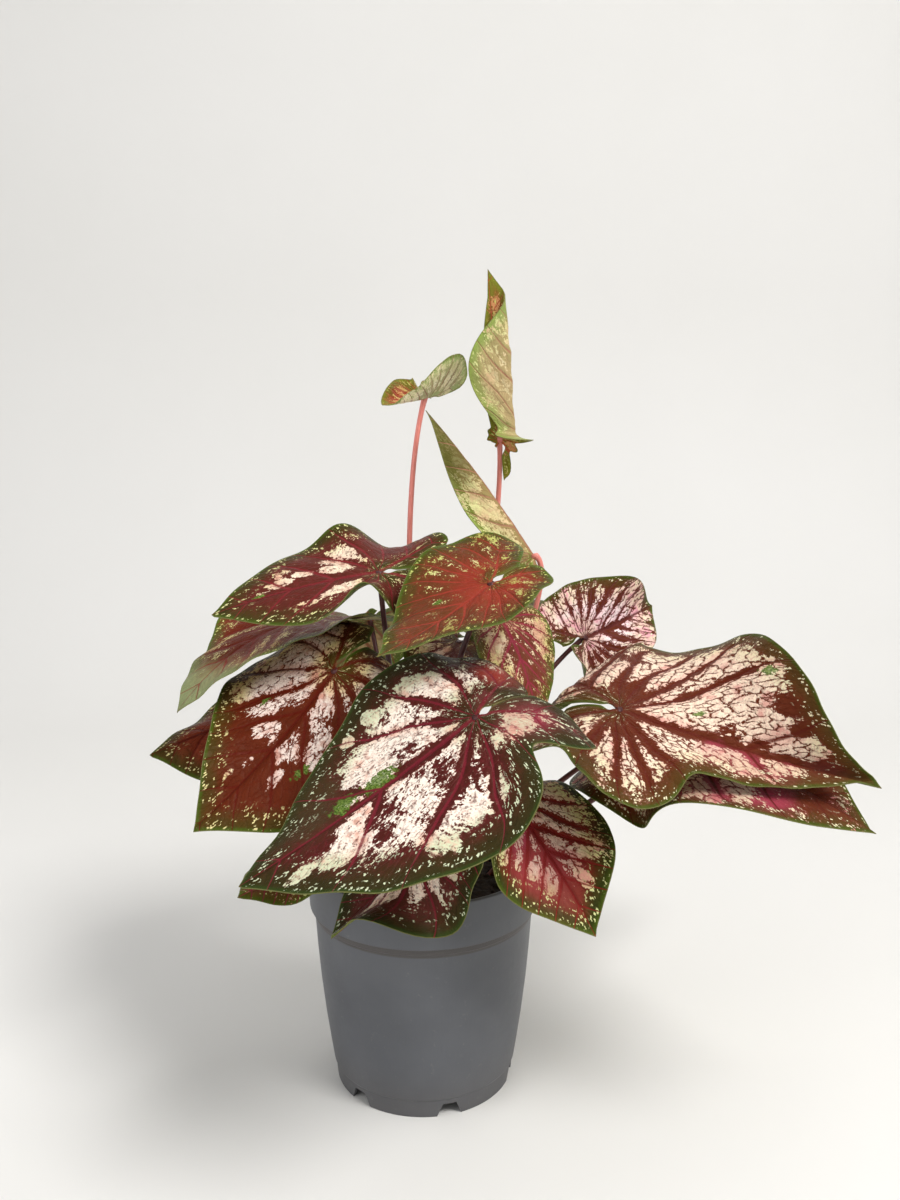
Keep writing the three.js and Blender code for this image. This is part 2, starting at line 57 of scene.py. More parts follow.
# Pot and soil
POT_HEIGHT = 122
RIM_RADIUS = 61
COLLAR_HEIGHT = 24
BAND_HEIGHT = 4
BAND_INSET = 2.6
BASE_RADIUS = 47
BELLY = 1.2
WALL = 1.8
RIM_WALL = 2.2
FOOT_HEIGHT = 10
PAD_RADIUS = 28
FLOOR_RISE = 8
NOTCH_COUNT = 6
NOTCH_WIDTH = 13
NOTCH_SLOPE = 3
NOTCH_DEPTH = 12
NOTCH_PHASE = 17
DRAIN_RADIUS = 3.5
DRAIN_RING = 38
DRAIN_SIDES = 32
NOTCH_FLARE = 0.4
EDGE = 0.6
CORNER_SIZE = 0.4
CORNER_STEPS = 4
POT_SIDES = 192
POT_SHARP = 38
# Height up to which the pot turns browner towards the bottom
BROWNER_BELOW_HEIGHT = 34
# Painted shade in the recessed band under the collar, warmed by a painted brown reflection: heights where it
# starts, is full, is still full and ends
GROOVE_SHADE_BAND = (92.2, 93.0, 97.8, 98.5)
SOIL_BELOW_RIM = 13
SOIL_CROWN = 2
SOIL_TOP = POT_HEIGHT - SOIL_BELOW_RIM
SOIL_RINGS = 46
SOIL_SIDES = 150
SOIL_LUMPS = 330
CLEARANCE = 0.3
ROOT_DEPTH = 13

# Petioles and blades
PETIOLE_RADIUS = 1.4
PETIOLE_SIDES = 16
PETIOLE_STEPS = 56
SOLID_THICKNESS = 0.9
BLADE_THICKNESS = 0.6
BLADE_SHARP = 50
UPPER_ROUGHNESS = 0.42
UNDER_ROUGHNESS = 0.5
TIP_CROWDING = 1.25
CREASE = 5
FLAP_ARC = 8
SLIT = 1.6
SINUS = 0.45
SPIKE = 0.04
WAVE_HEIGHT = 1.5
WAVES_PER_SIDE = 5
STATIONS = (30, 70, 112, 152)
STATION_SPREAD = 22
LOBE_AT = 140
LOBE_SPREAD = 28
NOTCH_FROM = 155
BACK_SHARE = 0.4
MESH_STEP = 2.1

# Vein field, angles from the tip
VEIN_ANGLE = math.radians(42)
BASAL_ANGLE = math.radians(150)
VEIN_BEND = 0.55

# Stage
FLOOR_HALF_WIDTH = 2600
FLOOR_FRONT = -1500
FLOOR_BACK = 600
FLOOR_CURVE = 500
BACKDROP_TOP = 2600
SKY_STRENGTH = 0.45
# Each light: place, aim and size in m, power in W, and colour
LIGHTS = {
    "key": ((0.8, -0.8, 1.6), (0.0, 0.0, 0.17), (0.7, 0.7), 31, (1.0, 0.985, 0.96)),
    "fill": ((-1.3, -0.9, 0.8), (0.0, 0.0, 0.15), (1.2, 1.0), 8, (0.97, 0.98, 1.0)),
    "back": ((0.2, 1.2, 1.6), (0.0, 0.0, 0.2), (1.2, 0.8), 10, (1.0, 1.0, 1.0)),
}

# No lift or bulge at any station, and what the guessed leaves at the back share
EVEN = [[0, 0, 0, 0], [0, 0, 0, 0]]
GUESSED = dict(bow=25, droop=20, fold=[-5, -5], roll=[0, 0], curl=[-15, -15], lobe=0.12, full=32, lift=EVEN)

# Each leaf: hub, where the petiole meets the blade, and tip; face, the heading and height of the upper
# face's normal in degrees; then bends in degrees, widths as shares of the hub-to-tip length, and at
# STATIONS along the margin, from tip to notch, its lift in mm and its bulge as a share. Pairs are
# (left, right), seen from above with the tip ahead. The petiole stands in the soil at root, sets out
# along rise and comes down to the hub from the point that fall gives, measured from the hub. A flap is
# a right half that turns over past its crease, by this many degrees, and wave the height of the margin's
# small waves in mm.
LEAVES = {
    "front_large": dict(
        hub=[25, -94, 225], tip=[-71, -133, 165], face=[-128, 46],
        bow=-10, droop=79, fold=[-9, -7], roll=[9, -19],
        curl=[15, 19], width=[0.46, 0.43], lobe=0.08, full=35,
        lift=[[0, -2, 0, 0], [4, 1, -9, -4]],
        bulge=[[0.11, 0.03, -0.49, 0], [0, 0, 0, 0]],
        root=[5, -21], rise=[0, -4, 70], fall=[-8, 42, -30],
    ),
    "right_large": dict(
        hub=[94, -45, 214], tip=[204, -88, 191], face=[-73, 52],
        bow=-10, droop=71, fold=[-10, 6], roll=[109, -33],
        curl=[-22, 1], width=[0.57, 0.43], lobe=0.13, full=36,
        lift=[[-4, -2, 3, -3], [10, 2, 5, -5]],
        bulge=[[0, 0, 0.03, 0], [-0.33, 0, -0.28, 0]],
        root=[24, -5], rise=[5, 3, 80], fall=[-34, 12, -14],
    ),
    "right_under": dict(
        hub=[109, -21, 190], tip=[203, -85, 168], face=[-93, 44],
        bow=64, droop=20, fold=[-5, 0], roll=[-2, 4],
        curl=[-14, 35], width=[0.45, 0.3], lobe=0.12, full=31,
        lift=[[-2, 0, 0, 0], [12, -28, 0, 0]],
        bulge=[[-0.03, 0, 0, 0], [0.03, 0, 0, 0]],
        root=[27, 3], rise=[25, -3, 45], fall=[-8, 6, -35],
    ),
    "left_large": dict(
        hub=[-43, -22, 227], tip=[-105, -66, 163], face=[-125, 29],
        bow=-22, droop=67, fold=[-13, -5], roll=[-14, 67],
        curl=[-10, -23], width=[0.43, 0.48], lobe=0.11, full=41,
        lift=[[-3, 0, 0, -18], [-2, 0, 0, 0]],
        bulge=[[0.1, 0, 0, 0], [-0.05, 0.07, 0, 0]],
        root=[-20, -12], rise=[-2, 2, 55], fall=[10, 24, -30],
    ),
    "left_far": dict(
        hub=[-87, 25, 192], tip=[-146, 13, 172], face=[-124, 51],
        bow=9, droop=20, fold=[-9, -6], roll=[-8, -7],
        curl=[-19, -13], width=[0.49, 0.44], lobe=0.12, full=34,
        lift=[[-8, 0, 0, 0], [-3, 0, 0, 0]],
        bulge=[[0.06, 0, 0, 0], [0, 0, 0, 0]],
        root=[-26, 4], rise=[-14, 4, 48], fall=[22, 6, -26],
    ),
    "left_top": dict(
        hub=[-21, -9, 274], tip=[-103, -17, 254], face=[-102, 68],
        bow=14, droop=15, fold=[-3, 6], roll=[-8, 16],
        curl=[3, -41], width=[0.29, 0.43], lobe=0.13, full=33,
        lift=[[-4, 15, -15, 0], [0, 15, 0, 8]],
        bulge=[[0.07, -0.04, 0, 0], [0.03, 0, 0, 0]],
        root=[-9, 12], rise=[-2, 8, 75], fall=[2, 22, -50],
    ),
    "left_hanging": dict(
        hub=[-60, 34, 242], tip=[-120, -31, 208], face=[-133, 50],
        bow=45, droop=17, fold=[4, -1], roll=[6, 7],
        curl=[10, -10], width=[0.45, 0.46], lobe=0.12, full=32,
        lift=[[0, 2, 0, 0], [-5, 4, 0, 0]],
        bulge=[[0, 0, 0, 0], [-0.06, 0.03, 0, 0]],
        root=[-22, 18], rise=[-4, 10, 60], fall=[6, 4, -45],
    ),
    "middle_red": dict(
        hub=[33, -42, 274], tip=[-18, -87, 250], face=[-123, 47],
        bow=-17, droop=25, fold=[0, 4], roll=[4, -12],
        curl=[21, 8], width=[0.43, 0.54], lobe=0.16, full=26,
        lift=[[2, 0, 0, 1], [-3, 0, 0, 0]],
        bulge=[[0, 0, -0.16, -0.26], [0, 0, 0, 0.04]],
        root=[-3, -26], rise=[6, -10, 85], fall=[-19, 4, -34],
    ),
    "middle_olive": dict(
        hub=[40, -11, 250], tip=[57, -43, 204], face=[-53, 18],
        bow=27, droop=18, fold=[-5, 0], roll=[0, -2],
        curl=[-13, -6], width=[0.48, 0.44], lobe=-0.05, full=32,
        lift=[[-3, 2, 3, 0], [0, 5, 0, 0]],
        bulge=[[0, 0.05, 0, -0.5], [0, 0, 0, -0.5]],
        root=[20, -14], rise=[2, 0, 65], fall=[4, 6, -40],
    ),
    "middle_low": dict(
        hub=[19, 7, 235], tip=[5, -34, 214], face=[-101, 31],
        bow=26, droop=20, fold=[-3, -2], roll=[0, 2],
        curl=[-14, -8], width=[0.45, 0.52], lobe=0.12, full=35,
        lift=[[0, 0, 0, 2], [0, 1, 0, 0]],
        bulge=[[0, -0.3, -0.3, -0.7], [0, 0.05, 0, -0.5]],
        root=[-4, -5], rise=[2, 4, 50], fall=[-2, 4, -45],
    ),
    "right_cupped": dict(
        hub=[90, 59, 225], tip=[132, 96, 236], face=[-92, 8],
        bow=23, droop=-17, fold=[1, 2], roll=[19, 5],
        curl=[-9, -3], width=[0.51, 0.37], lobe=0.09, full=37,
        lift=[[9, 0, 0, 0], [12, 0, 0, 12]],
        bulge=[[0.05, 0, 0, 0], [0.06, 0, 0, -0.04]],
        root=[20, 13], rise=[8, 4, 60], fall=[-30, -4, -22],
    ),
    "front_right": dict(
        hub=[43, -50, 171], tip=[80, -86, 120], face=[-51, 25],
        bow=13, droop=23, fold=[-2, 2], roll=[62, -12],
        curl=[-9, 6], width=[0.48, 0.45], lobe=0.12, full=39,
        lift=[[4, 2, -10, 0], [-4, 7, 0, 0]],
        bulge=[[0, 0, -0.13, -0.4], [0.05, -0.03, -0.1, -0.5]],
        root=[18, -25], rise=[4, -2, 32], fall=[-10, 10, -18],
    ),
    "left_old": dict(
        hub=[-58, -41, 135], tip=[-83, -77, 134], face=[-107, 59],
        bow=1, droop=20, fold=[0, -5], roll=[-6, -1],
        curl=[1, -15], width=[0.45, 0.44], lobe=0.12, full=33,
        lift=[[-6, 2, 0, 0], [0, 0, 0, 0]],
        bulge=EVEN,
        root=[-18, -24], rise=[-8, -5, 45], fall=[10, 6, -8],
    ),
    "rim_front": dict(
        hub=[-3, -71, 153], tip=[-40, -86, 118], face=[-123, 59],
        bow=-15, droop=12, fold=[-7, -3], roll=[22, 5],
        curl=[-23, -15], width=[0.67, 0.46], lobe=0.2, full=34,
        lift=[[18, -11, 6, -2], [2, 0, 0, 0]],
        bulge=[[0, 0, 0, -0.47], [0, 0, 0, -0.5]],
        root=[-10, -32], rise=[0, -4, 42], fall=[5, 16, -10],
    ),
    "young_folded": dict(
        hub=[1, 33, 359], tip=[-18, -4, 356], face=[-20, 80],
        bow=-4, droop=16, fold=[61, 56], roll=[18, 24],
        curl=[12, 11], width=[0.57, 0.4], lobe=0.13, full=30,
        lift=[[-4, 0, 2, 0], [-3, 0, 0, 0]],
        bulge=[[-0.1, 0, 0.08, 0.05], [0.2, -0.42, -0.5, -0.3]],
        root=[-5, 24], rise=[-1, 2, 110], fall=[-14, 0, -52],
    ),
    "young_tall": dict(
        hub=[40, 30, 337], tip=[33, 24, 420], face=[-85, 0],
        bow=4, droop=0, fold=[10, 10], roll=[10, 0],
        curl=[10, 10], width=[0.12, 0.58], lobe=-0.4, full=18,
        lift=EVEN,
        bulge=[[-0.6, -0.4, -0.4, -0.5], [0.08, -0.56, -0.76, -0.7]],
        flap=162, wave=0,
        root=[12, 34], rise=[14, 0, 100], fall=[3, 6, -45],
    ),
    "young_rolled": dict(
        hub=[56, 12, 278], tip=[3, 20, 350], face=[165, -30],
        bow=-8, droop=-35, fold=[66, 68], roll=[0, 0],
        curl=[10, -15], width=[0.1, 0.14], lobe=0.1, full=22,
        lift=EVEN,
        bulge=[[0, 0, -0.2, -0.4], [0.2, 0, -0.2, -0.4]],
        root=[16, 18], rise=[12, 5, 80], fall=[16, 0, -12],
    ),
    "back_left": dict(
        GUESSED, hub=[-33, 89, 229], tip=[-59, 129, 166], face=[110, 34],
        width=[0.34, 0.42], bulge=[[0, 0, -0.45, -0.6], [0, 0, 0, 0]],
        root=[-15, 30], rise=[-12, 8, 70], fall=[12, -14, -45],
    ),
    "back_middle": dict(
        GUESSED, hub=[40, 90, 241], tip=[36, 152, 200], face=[95, 55],
        width=[0.45, 0.45], bulge=EVEN,
        root=[2, 33], rise=[2, 6, 80], fall=[-4, -20, -45],
    ),
    "back_right": dict(
        GUESSED, hub=[128, 48, 189], tip=[205, 100, 168], face=[60, 50],
        width=[0.45, 0.45], bulge=EVEN,
        root=[28, 20], rise=[20, 6, 50], fall=[-26, -8, -26],
    ),
}


def linear(red, green, blue):
    """A colour seen as 0 to 255, as the shader's linear value."""
    levels = [v / 255 for v in (red, green, blue)]
    return tuple(v / 12.92 if v < 0.04045 else ((v + 0.055) / 1.055) ** 2.4 for v in levels)


# Looks of the leaves. Pale blotches fill the middle of the cells between the veins on a dark ground.
# halo is the dark strip beside a vein and margin the unblotched border, in mm; span is how far to the
# tip the blotches go, as a share; cover says how much of a cell they fill; ragged how torn they are and
# grain how far they break into specks. net, flecks, washed, worn and specks say how much there is of the
# net of thin veins, the border's flecks, the tinted, the rubbed and the speckled parts of the blotches.
# fans is how many veins fan out beside the hub, laterals how far apart the veins ahead of it stand, as a
# share of the length. tip_blend is where the tip turns to another colour, as a share, and that colour; on
# left_hanging this is a painted sheen, the pale glossy reflection where the leaf curls down. Places on the
# flat leaf are in mm from the hub, ahead and to the left: spots (x, y, length, width, turn, amount) add
# blotches or take them away, tints are (x, y, size, colour) and green patches (x, y, length, width, turn).
LOOKS = {
    "maroon": dict(
        ground=linear(74, 28, 24), border=linear(50, 44, 20), rim=linear(46, 60, 22),
        vein=linear(114, 32, 44), blotch=linear(250, 240, 226), outer=linear(204, 212, 178),
        wash=linear(218, 164, 144), halo=1.4, margin=11, span=0.8, cover=-0.95, ragged=1.25, grain=1.7,
        net=0.7, flecks=0.55, washed=0.35, worn=0.5, specks=0.75, fans=2, laterals=0.42, vein_width=1.0,
    ),
    "crimson": dict(
        ground=linear(88, 38, 30), border=linear(64, 54, 22), rim=linear(66, 82, 24),
        vein=linear(122, 36, 42), blotch=linear(240, 226, 200), outer=linear(222, 220, 156),
        wash=linear(210, 150, 132), halo=1.4, margin=6, span=0.8, cover=-2.3, ragged=1.4, grain=2.4, net=0.6,
        flecks=0.6, washed=0.35, worn=0.5, specks=0.7, fans=2, laterals=0.26, vein_width=1.1,
    ),
    "brown": dict(
        ground=linear(94, 40, 22), border=linear(84, 58, 26), rim=linear(66, 78, 22), vein=linear(90, 30, 20),
        blotch=linear(244, 226, 202), outer=linear(236, 228, 190), wash=linear(214, 146, 136),
        halo=2.0, margin=7, span=0.7, cover=-0.5, ragged=1.0, grain=1.1, net=1.3, flecks=0.45, washed=0.4,
        worn=0.35, specks=0.5, fans=3, laterals=0.3, vein_width=1.2,
    ),
    "rust": dict(
        ground=linear(90, 34, 16), border=linear(72, 54, 18), rim=linear(66, 82, 22), vein=linear(88, 22, 12),
        blotch=linear(236, 222, 212), outer=linear(224, 212, 150), wash=linear(200, 136, 118),
        halo=1.5, margin=7, span=0.55, cover=-0.5, ragged=1.15, grain=1.6, net=1.0, flecks=0.55, washed=0.4,
        worn=0.45, specks=0.6, fans=2, laterals=0.24, vein_width=1.2,
    ),
    "red": dict(
        ground=linear(100, 54, 30), border=linear(74, 64, 24), rim=linear(74, 92, 28),
        vein=linear(150, 56, 44), blotch=linear(222, 218, 160), outer=linear(190, 196, 112),
        wash=linear(158, 146, 78), halo=1.6, margin=4, span=0.85, cover=-2.1, ragged=1.4, grain=5.4, net=0.5,
        flecks=0.45, washed=0.45, worn=0.25, specks=0.3, fans=3, laterals=0.24, vein_width=0.9,
    ),
    "olive": dict(
        ground=linear(106, 54, 36), border=linear(92, 78, 30), rim=linear(80, 96, 28),
        vein=linear(146, 46, 66), blotch=linear(232, 212, 192), outer=linear(206, 206, 130),
        wash=linear(204, 134, 126), halo=1.4, margin=4, span=0.95, cover=-0.9, ragged=1.1, grain=4.0,
        net=0.6, flecks=0.5, washed=0.45, worn=0.4, specks=0.3, fans=3, laterals=0.2, vein_width=1.1,
    ),
    "under": dict(
        ground=linear(120, 116, 66), border=linear(98, 112, 50), rim=linear(98, 120, 46),
        vein=linear(142, 80, 58), blotch=linear(196, 184, 130), outer=linear(178, 184, 110),
        wash=linear(176, 136, 98), halo=1.2, margin=5, span=0.8, cover=-0.6, ragged=1.0, grain=1.8, net=0.5,
        flecks=0.5, washed=0.4, worn=0.3, specks=0.1, fans=2, laterals=0.22, vein_width=1.3,
    ),
    "young_under": dict(
        ground=linear(160, 150, 100), border=linear(140, 152, 84), rim=linear(134, 154, 74),
        vein=linear(160, 112, 88), blotch=linear(226, 214, 170), outer=linear(206, 208, 144),
        wash=linear(206, 172, 134), halo=0.8, margin=3, span=0.9, cover=-1.2, ragged=1.3, grain=2.2, net=0.5,
        flecks=0.7, washed=0.5, worn=0.3, specks=0.0, fans=3, laterals=0.19, vein_width=0.8,
    ),
    "young": dict(
        ground=linear(140, 66, 42), border=linear(118, 108, 40), rim=linear(120, 124, 40),
        vein=linear(178, 80, 58), blotch=linear(206, 196, 126), outer=linear(200, 198, 112),
        wash=linear(200, 130, 90), halo=1.0, margin=3, span=0.8, cover=-0.7, ragged=1.0, grain=3.0, net=0.4,
        flecks=0.6, washed=0.5, worn=0.3, specks=0.1, fans=3, laterals=0.19, vein_width=0.8,
    ),
}
MAGENTA = linear(164, 62, 82)
# The look of each leaf's upper face, and changes to it
UPPER = {
    "front_large": ("maroon", dict(
        spots=(
            (88, -16, 27, 15, 0, -3.0), (34, -41, 6, 4, -45, 2.8), (49, -40, 5, 4, -45, 2.6),
            (59, -17, 6, 4, 0, 1.9), (77, 16, 12, 7, 10, 2.4), (99, 13, 9, 3, 0, 2.6),
            (64, 40, 11, 7, 0, -2.0), (90, 3, 10, 5, 0, -2.0), (28, -22, 22, 9, -20, 0.9),
            (40, 18, 20, 10, 20, 0.8), (-16, 14, 15, 9, 0, 1.2), (18, 56, 14, 6, 0, -1.6),
            (8, -34, 16, 8, -60, 0.7), (43, 44, 5, 4, 0, 0.5), (31, 42, 6, 4, 30, 0.6),
        ),
        tints=(
            (-17, 13, 15, MAGENTA), (-8, -4, 8, MAGENTA), (-30, -21, 14, linear(150, 56, 48)),
            (84, -22, 24, linear(66, 58, 34)),
        ),
        patches=((49, -5, 9, 5, 0), (67, -6, 7, 4.5, 10)),
    )),
    "right_large": ("brown", dict(
        laterals=0.5, span=0.88,
        spots=(
            (92, 34, 44, 12, -42, -3.4), (108, 2, 18, 12, 0, -3.0), (30, 14, 30, 9, 10, 0.9),
            (74, 11, 20, 5, -5, 2.2), (24, 44, 34, 10, 20, 1.0), (62, 44, 8, 5, 0, 1.8),
            (80, -5, 14, 4, 0, 0.8), (70, 27, 10, 5, 0, -1.4),
        ),
        tints=(
            (47, -8, 8, MAGENTA), (62, -9, 9, MAGENTA), (79, -10, 9, MAGENTA),
            (99, -2, 12, linear(112, 50, 44)),
        ),
        patches=((36, 12, 3, 1.5, 30), (61, 41, 4, 2.5, 0)),
    )),
    "right_under": ("brown", dict(
        cover=-0.3, span=0.72, laterals=0.25, margin=4, wash=linear(206, 112, 116), washed=0.6, flecks=0.6,
        tints=((52, -24, 14, MAGENTA), (76, -16, 12, MAGENTA)),
    )),
    "left_large": ("rust", dict(
        spots=(
            (-6, -22, 26, 14, 0, 1.3), (22, -30, 18, 11, -30, 1.3), (72, -16, 27, 24, 0, -3.4),
            (72, 16, 22, 14, 0, -2.6), (61, 11, 9, 3.5, -5, 4.4), (71, -8, 5, 2, 0, 4.2),
            (61, -5, 5, 2.5, 0, 3.6), (48, -13, 9, 4, -20, 2.0),
        ),
        patches=((48, 19, 6, 2, -15), (32, -22, 3.5, 1.5, 0)),
    )),
    "left_far": ("rust", dict(cover=-1.6, ground=linear(112, 44, 24))),
    "left_top": ("crimson", dict(
        spots=(
            (13, -16, 15, 8, -25, 2.0), (12, -28, 6, 4, 0, 1.8), (24, -8, 12, 3, -5, 1.8),
            (37, -9, 6, 2.5, 0, 2.6), (50, -6, 7, 3, 0, 2.8), (59, -2, 5, 2, 0, 2.4),
            (20, 9, 16, 3, 12, 2.0), (37, 13, 5, 2.5, 0, 2.4), (-8, 2, 10, 9, 0, 2.0),
        ),
        patches=((60, -1, 3.5, 1.5, 0),),
    )),
    # Its tip is painted pale grey-green: a painted sheen, the glossy reflection where the leaf curls down
    "left_hanging": ("olive", dict(
        cover=-1.7, ground=linear(112, 44, 26), vein=linear(126, 42, 36), wash=linear(196, 150, 108),
        blotch=linear(232, 222, 164), tip_blend=(0.62, linear(132, 140, 100)),
    )),
    "middle_red": ("red", dict(
        cover=-2.7, ragged=2.1, grain=6.2, tints=((0, 0, 21, linear(150, 52, 40)),),
        spots=(
            (6, 10, 11, 6, 20, 1.7), (-5, 17, 14, 7, 60, 1.9), (-1, -17, 11, 5, 0, 1.6),
            (4, -29, 11, 6, 0, 1.3), (-36, -22, 14, 7, 0, 1.3), (-24, -28, 14, 7, 30, 1.3),
            (-22, -12, 12, 6, 0, 1.5), (24, -20, 10, 5, 0, 0.6),
        ),
        patches=((24, -12, 3, 1.5, 0),),
    )),
    "middle_olive": ("olive", dict(
        cover=-0.9, ragged=2.0, grain=5.6, blotch=linear(244, 230, 196), wash=linear(204, 152, 128),
        spots=((12, -10, 15, 7, 0, 1.1), (34, 12, 14, 6, 0, -0.6), (30, -10, 16, 8, 0, 0.9)),
    )),
    "middle_low": ("rust", dict(cover=-0.2)),
    "right_cupped": ("brown", dict(
        wash=linear(232, 160, 176), washed=0.35, blotch=linear(255, 252, 248), span=0.9, cover=0.2,
        laterals=0.2, vein=linear(96, 44, 42), margin=4, halo=1.2,
    )),
    # Redder than the rust look as the leaf is, and brighter in ground and blotches as painted light that
    # makes up for the shade this leaf falls in
    "front_right": ("rust", dict(
        vein=linear(128, 32, 32), blotch=linear(252, 236, 216), wash=linear(232, 160, 150), washed=0.5,
        span=0.62, cover=-0.1, margin=6, grain=2.4, outer=linear(224, 226, 160), ground=linear(118, 44, 32),
        laterals=0.2, border=linear(56, 60, 22), worn=0.3, flecks=0.8,
        spots=(
            (54, -16, 24, 9, 20, -3.0), (40, -21, 16, 6, 30, -1.6), (52, 13, 9, 8, 0, -1.2),
            (66, 0, 12, 12, 0, -3.0), (35, -12, 6, 3.5, -60, 2.2), (46, -8, 4.5, 2.5, -60, 3.2),
            (50, 8, 6, 3, 10, 2.4),
        ),
        tints=((36, -6, 18, linear(156, 60, 66)), (14, -10, 12, MAGENTA), (52, -10, 14, linear(132, 60, 54))),
    )),
    "left_old": ("olive", {}),
    "rim_front": ("maroon", dict(
        ground=linear(78, 38, 30), margin=5, cover=-1.7, laterals=0.25,
        spots=((24, 9, 11, 6, 0, 2.2), (5, 15, 9, 6, 0, 1.8), (-6, 24, 6, 4, 0, 1.8)),
    )),
    "young_folded": ("young", {}),
    "young_tall": ("young", {}),
    "young_rolled": ("young", {}),
    "back_left": ("olive", {}),
    "back_middle": ("brown", {}),
    "back_right": ("rust", {}),
}
# Changes to the look of the undersides that show most
UNDER = {
    # young_folded's underside is a lighter copy of the young underside: painted light that makes up for the
    # shade this side falls in
    "young_folded": dict(
        ground=linear(182, 180, 126), blotch=linear(255, 255, 240), wash=linear(246, 232, 196),
        border=linear(176, 190, 122), cover=-0.3, ragged=1.6, worn=0.1,
    ),
    "young_tall": dict(
        tip_blend=(0.75, linear(150, 150, 98)), tints=((16, -16, 30, linear(180, 156, 114)),), ragged=1.7,
    ),
    "young_rolled": dict(
        ground=linear(150, 132, 84), border=linear(108, 118, 46), blotch=linear(218, 200, 150), cover=-0.5,
        tip_blend=(0.5, linear(88, 80, 38)),
    ),
}


class Number:
    """A number that changes over a surface, written as ordinary arithmetic."""

    def __init__(self, finish, socket):
        self.finish = finish
        self.socket = socket

    def do(self, operation, *others):
        values = [value_of(self), *[value_of(o) for o in others]]
        made = self.finish.node("ShaderNodeMath", values, operation=operation)
        return Number(self.finish, made.outputs[0])

    def __add__(self, other):
        return self.do("ADD", other)

    __radd__ = __add__

    def __mul__(self, other):
        return self.do("MULTIPLY", other)

    __rmul__ = __mul__

    def __sub__(self, other):
        return self.do("SUBTRACT", other)

    def __rsub__(self, other):
        return (self * -1) + other

    def __truediv__(self, other):
        return self.do("DIVIDE", other)


def value_of(item):
    return item.socket if isinstance(item, Number) else item


# The same formulas work on a shader's numbers and on arrays of mesh points
ARRAY_FORMS = {
    "ARCTAN2": np.arctan2, "SQRT": np.sqrt, "MAXIMUM": np.maximum, "MINIMUM": np.minimum,
    "ABSOLUTE": np.abs, "ROUND": np.round, "GREATER_THAN": lambda a, b: (a > b) * 1.0,
}


def form(operation, first, *others):
    if isinstance(first, Number):
        return first.do(operation, *others)
    return ARRAY_FORMS[operation](first, *others)


class Finish:
    """A material whose nodes are written as expressions."""

    def __init__(self, name, **constants):
        self.material = bpy.data.materials.new(name)
        self.material.use_nodes = True
        self.tree = self.material.node_tree
        self.tree.nodes.clear()
        self.shader = self.node("ShaderNodeBsdfPrincipled", constants)
        self.node("ShaderNodeOutputMaterial", {"Surface": self.shader.outputs[0]})

    def node(self, kind, inputs=(), **settings):
        made = self.tree.nodes.new(kind)
        for key, setting in settings.items():
            setattr(made, key, setting)
        pairs = inputs.items() if isinstance(inputs, dict) else enumerate(inputs)
        for key, value in pairs:
            socket = made.inputs[key]
            value = value_of(value)
            if isinstance(value, bpy.types.NodeSocket):
                self.tree.links.new(value, socket)
            elif isinstance(value, tuple) and len(socket.default_value) > len(value):
                socket.default_value = (*value, 1)
            else:
                socket.default_value = value
        return made

    def number(self, socket):
        return Number(self, socket)

    def parts(self, name):
        """The three numbers of a mesh attribute."""
        read = self.node("ShaderNodeAttribute", attribute_name=name)
        split = self.node("ShaderNodeSeparateXYZ", [read.outputs["Vector"]])
        return [self.number(s) for s in split.outputs]

    def point(self, x, y, z=0.0):
        return self.node("ShaderNodeCombineXYZ", [x, y, z]).outputs[0]

    def noise(self, place, scale, detail=2.0, rough=0.55, flat=True):
        made = self.node(
            "ShaderNodeTexNoise", {"Vector": place, "Scale": scale, "Detail": detail, "Roughness": rough},
            noise_dimensions="2D" if flat else "3D",
        )
        return self.number(made.outputs[0])

    def cells(self, place, scale, feature="DISTANCE_TO_EDGE"):
        made = self.node(
            "ShaderNodeTexVoronoi", {"Vector": place, "Scale": scale},
            voronoi_dimensions="2D", feature=feature,
        )
        return self.number(made.outputs["Distance"])

    def ease(self, value, low, high):
        """0 below low, 1 above high, smooth between; the other way round if low is above high."""
        turn = low > high
        made = self.node(
            "ShaderNodeMapRange", {"Value": value, "From Min": min(low, high), "From Max": max(low, high)},
            interpolation_type="SMOOTHSTEP",
        )
        eased = self.number(made.outputs[0])
        return 1 - eased if turn else eased

    def mix(self, share, first, second, blend="MIX"):
        made = self.node(
            "ShaderNodeMix", {0: share, 6: first, 7: second}, data_type="RGBA", blend_type=blend,
        )
        return made.outputs[2]

    def bump(self, height, distance, strength):
        made = self.node("ShaderNodeBump", {"Height": height, "Distance": distance, "Strength": strength})
        self.feed("Normal", made.outputs[0])

    def feed(self, name, value):
        self.tree.links.new(value_of(value), self.shader.inputs[name])


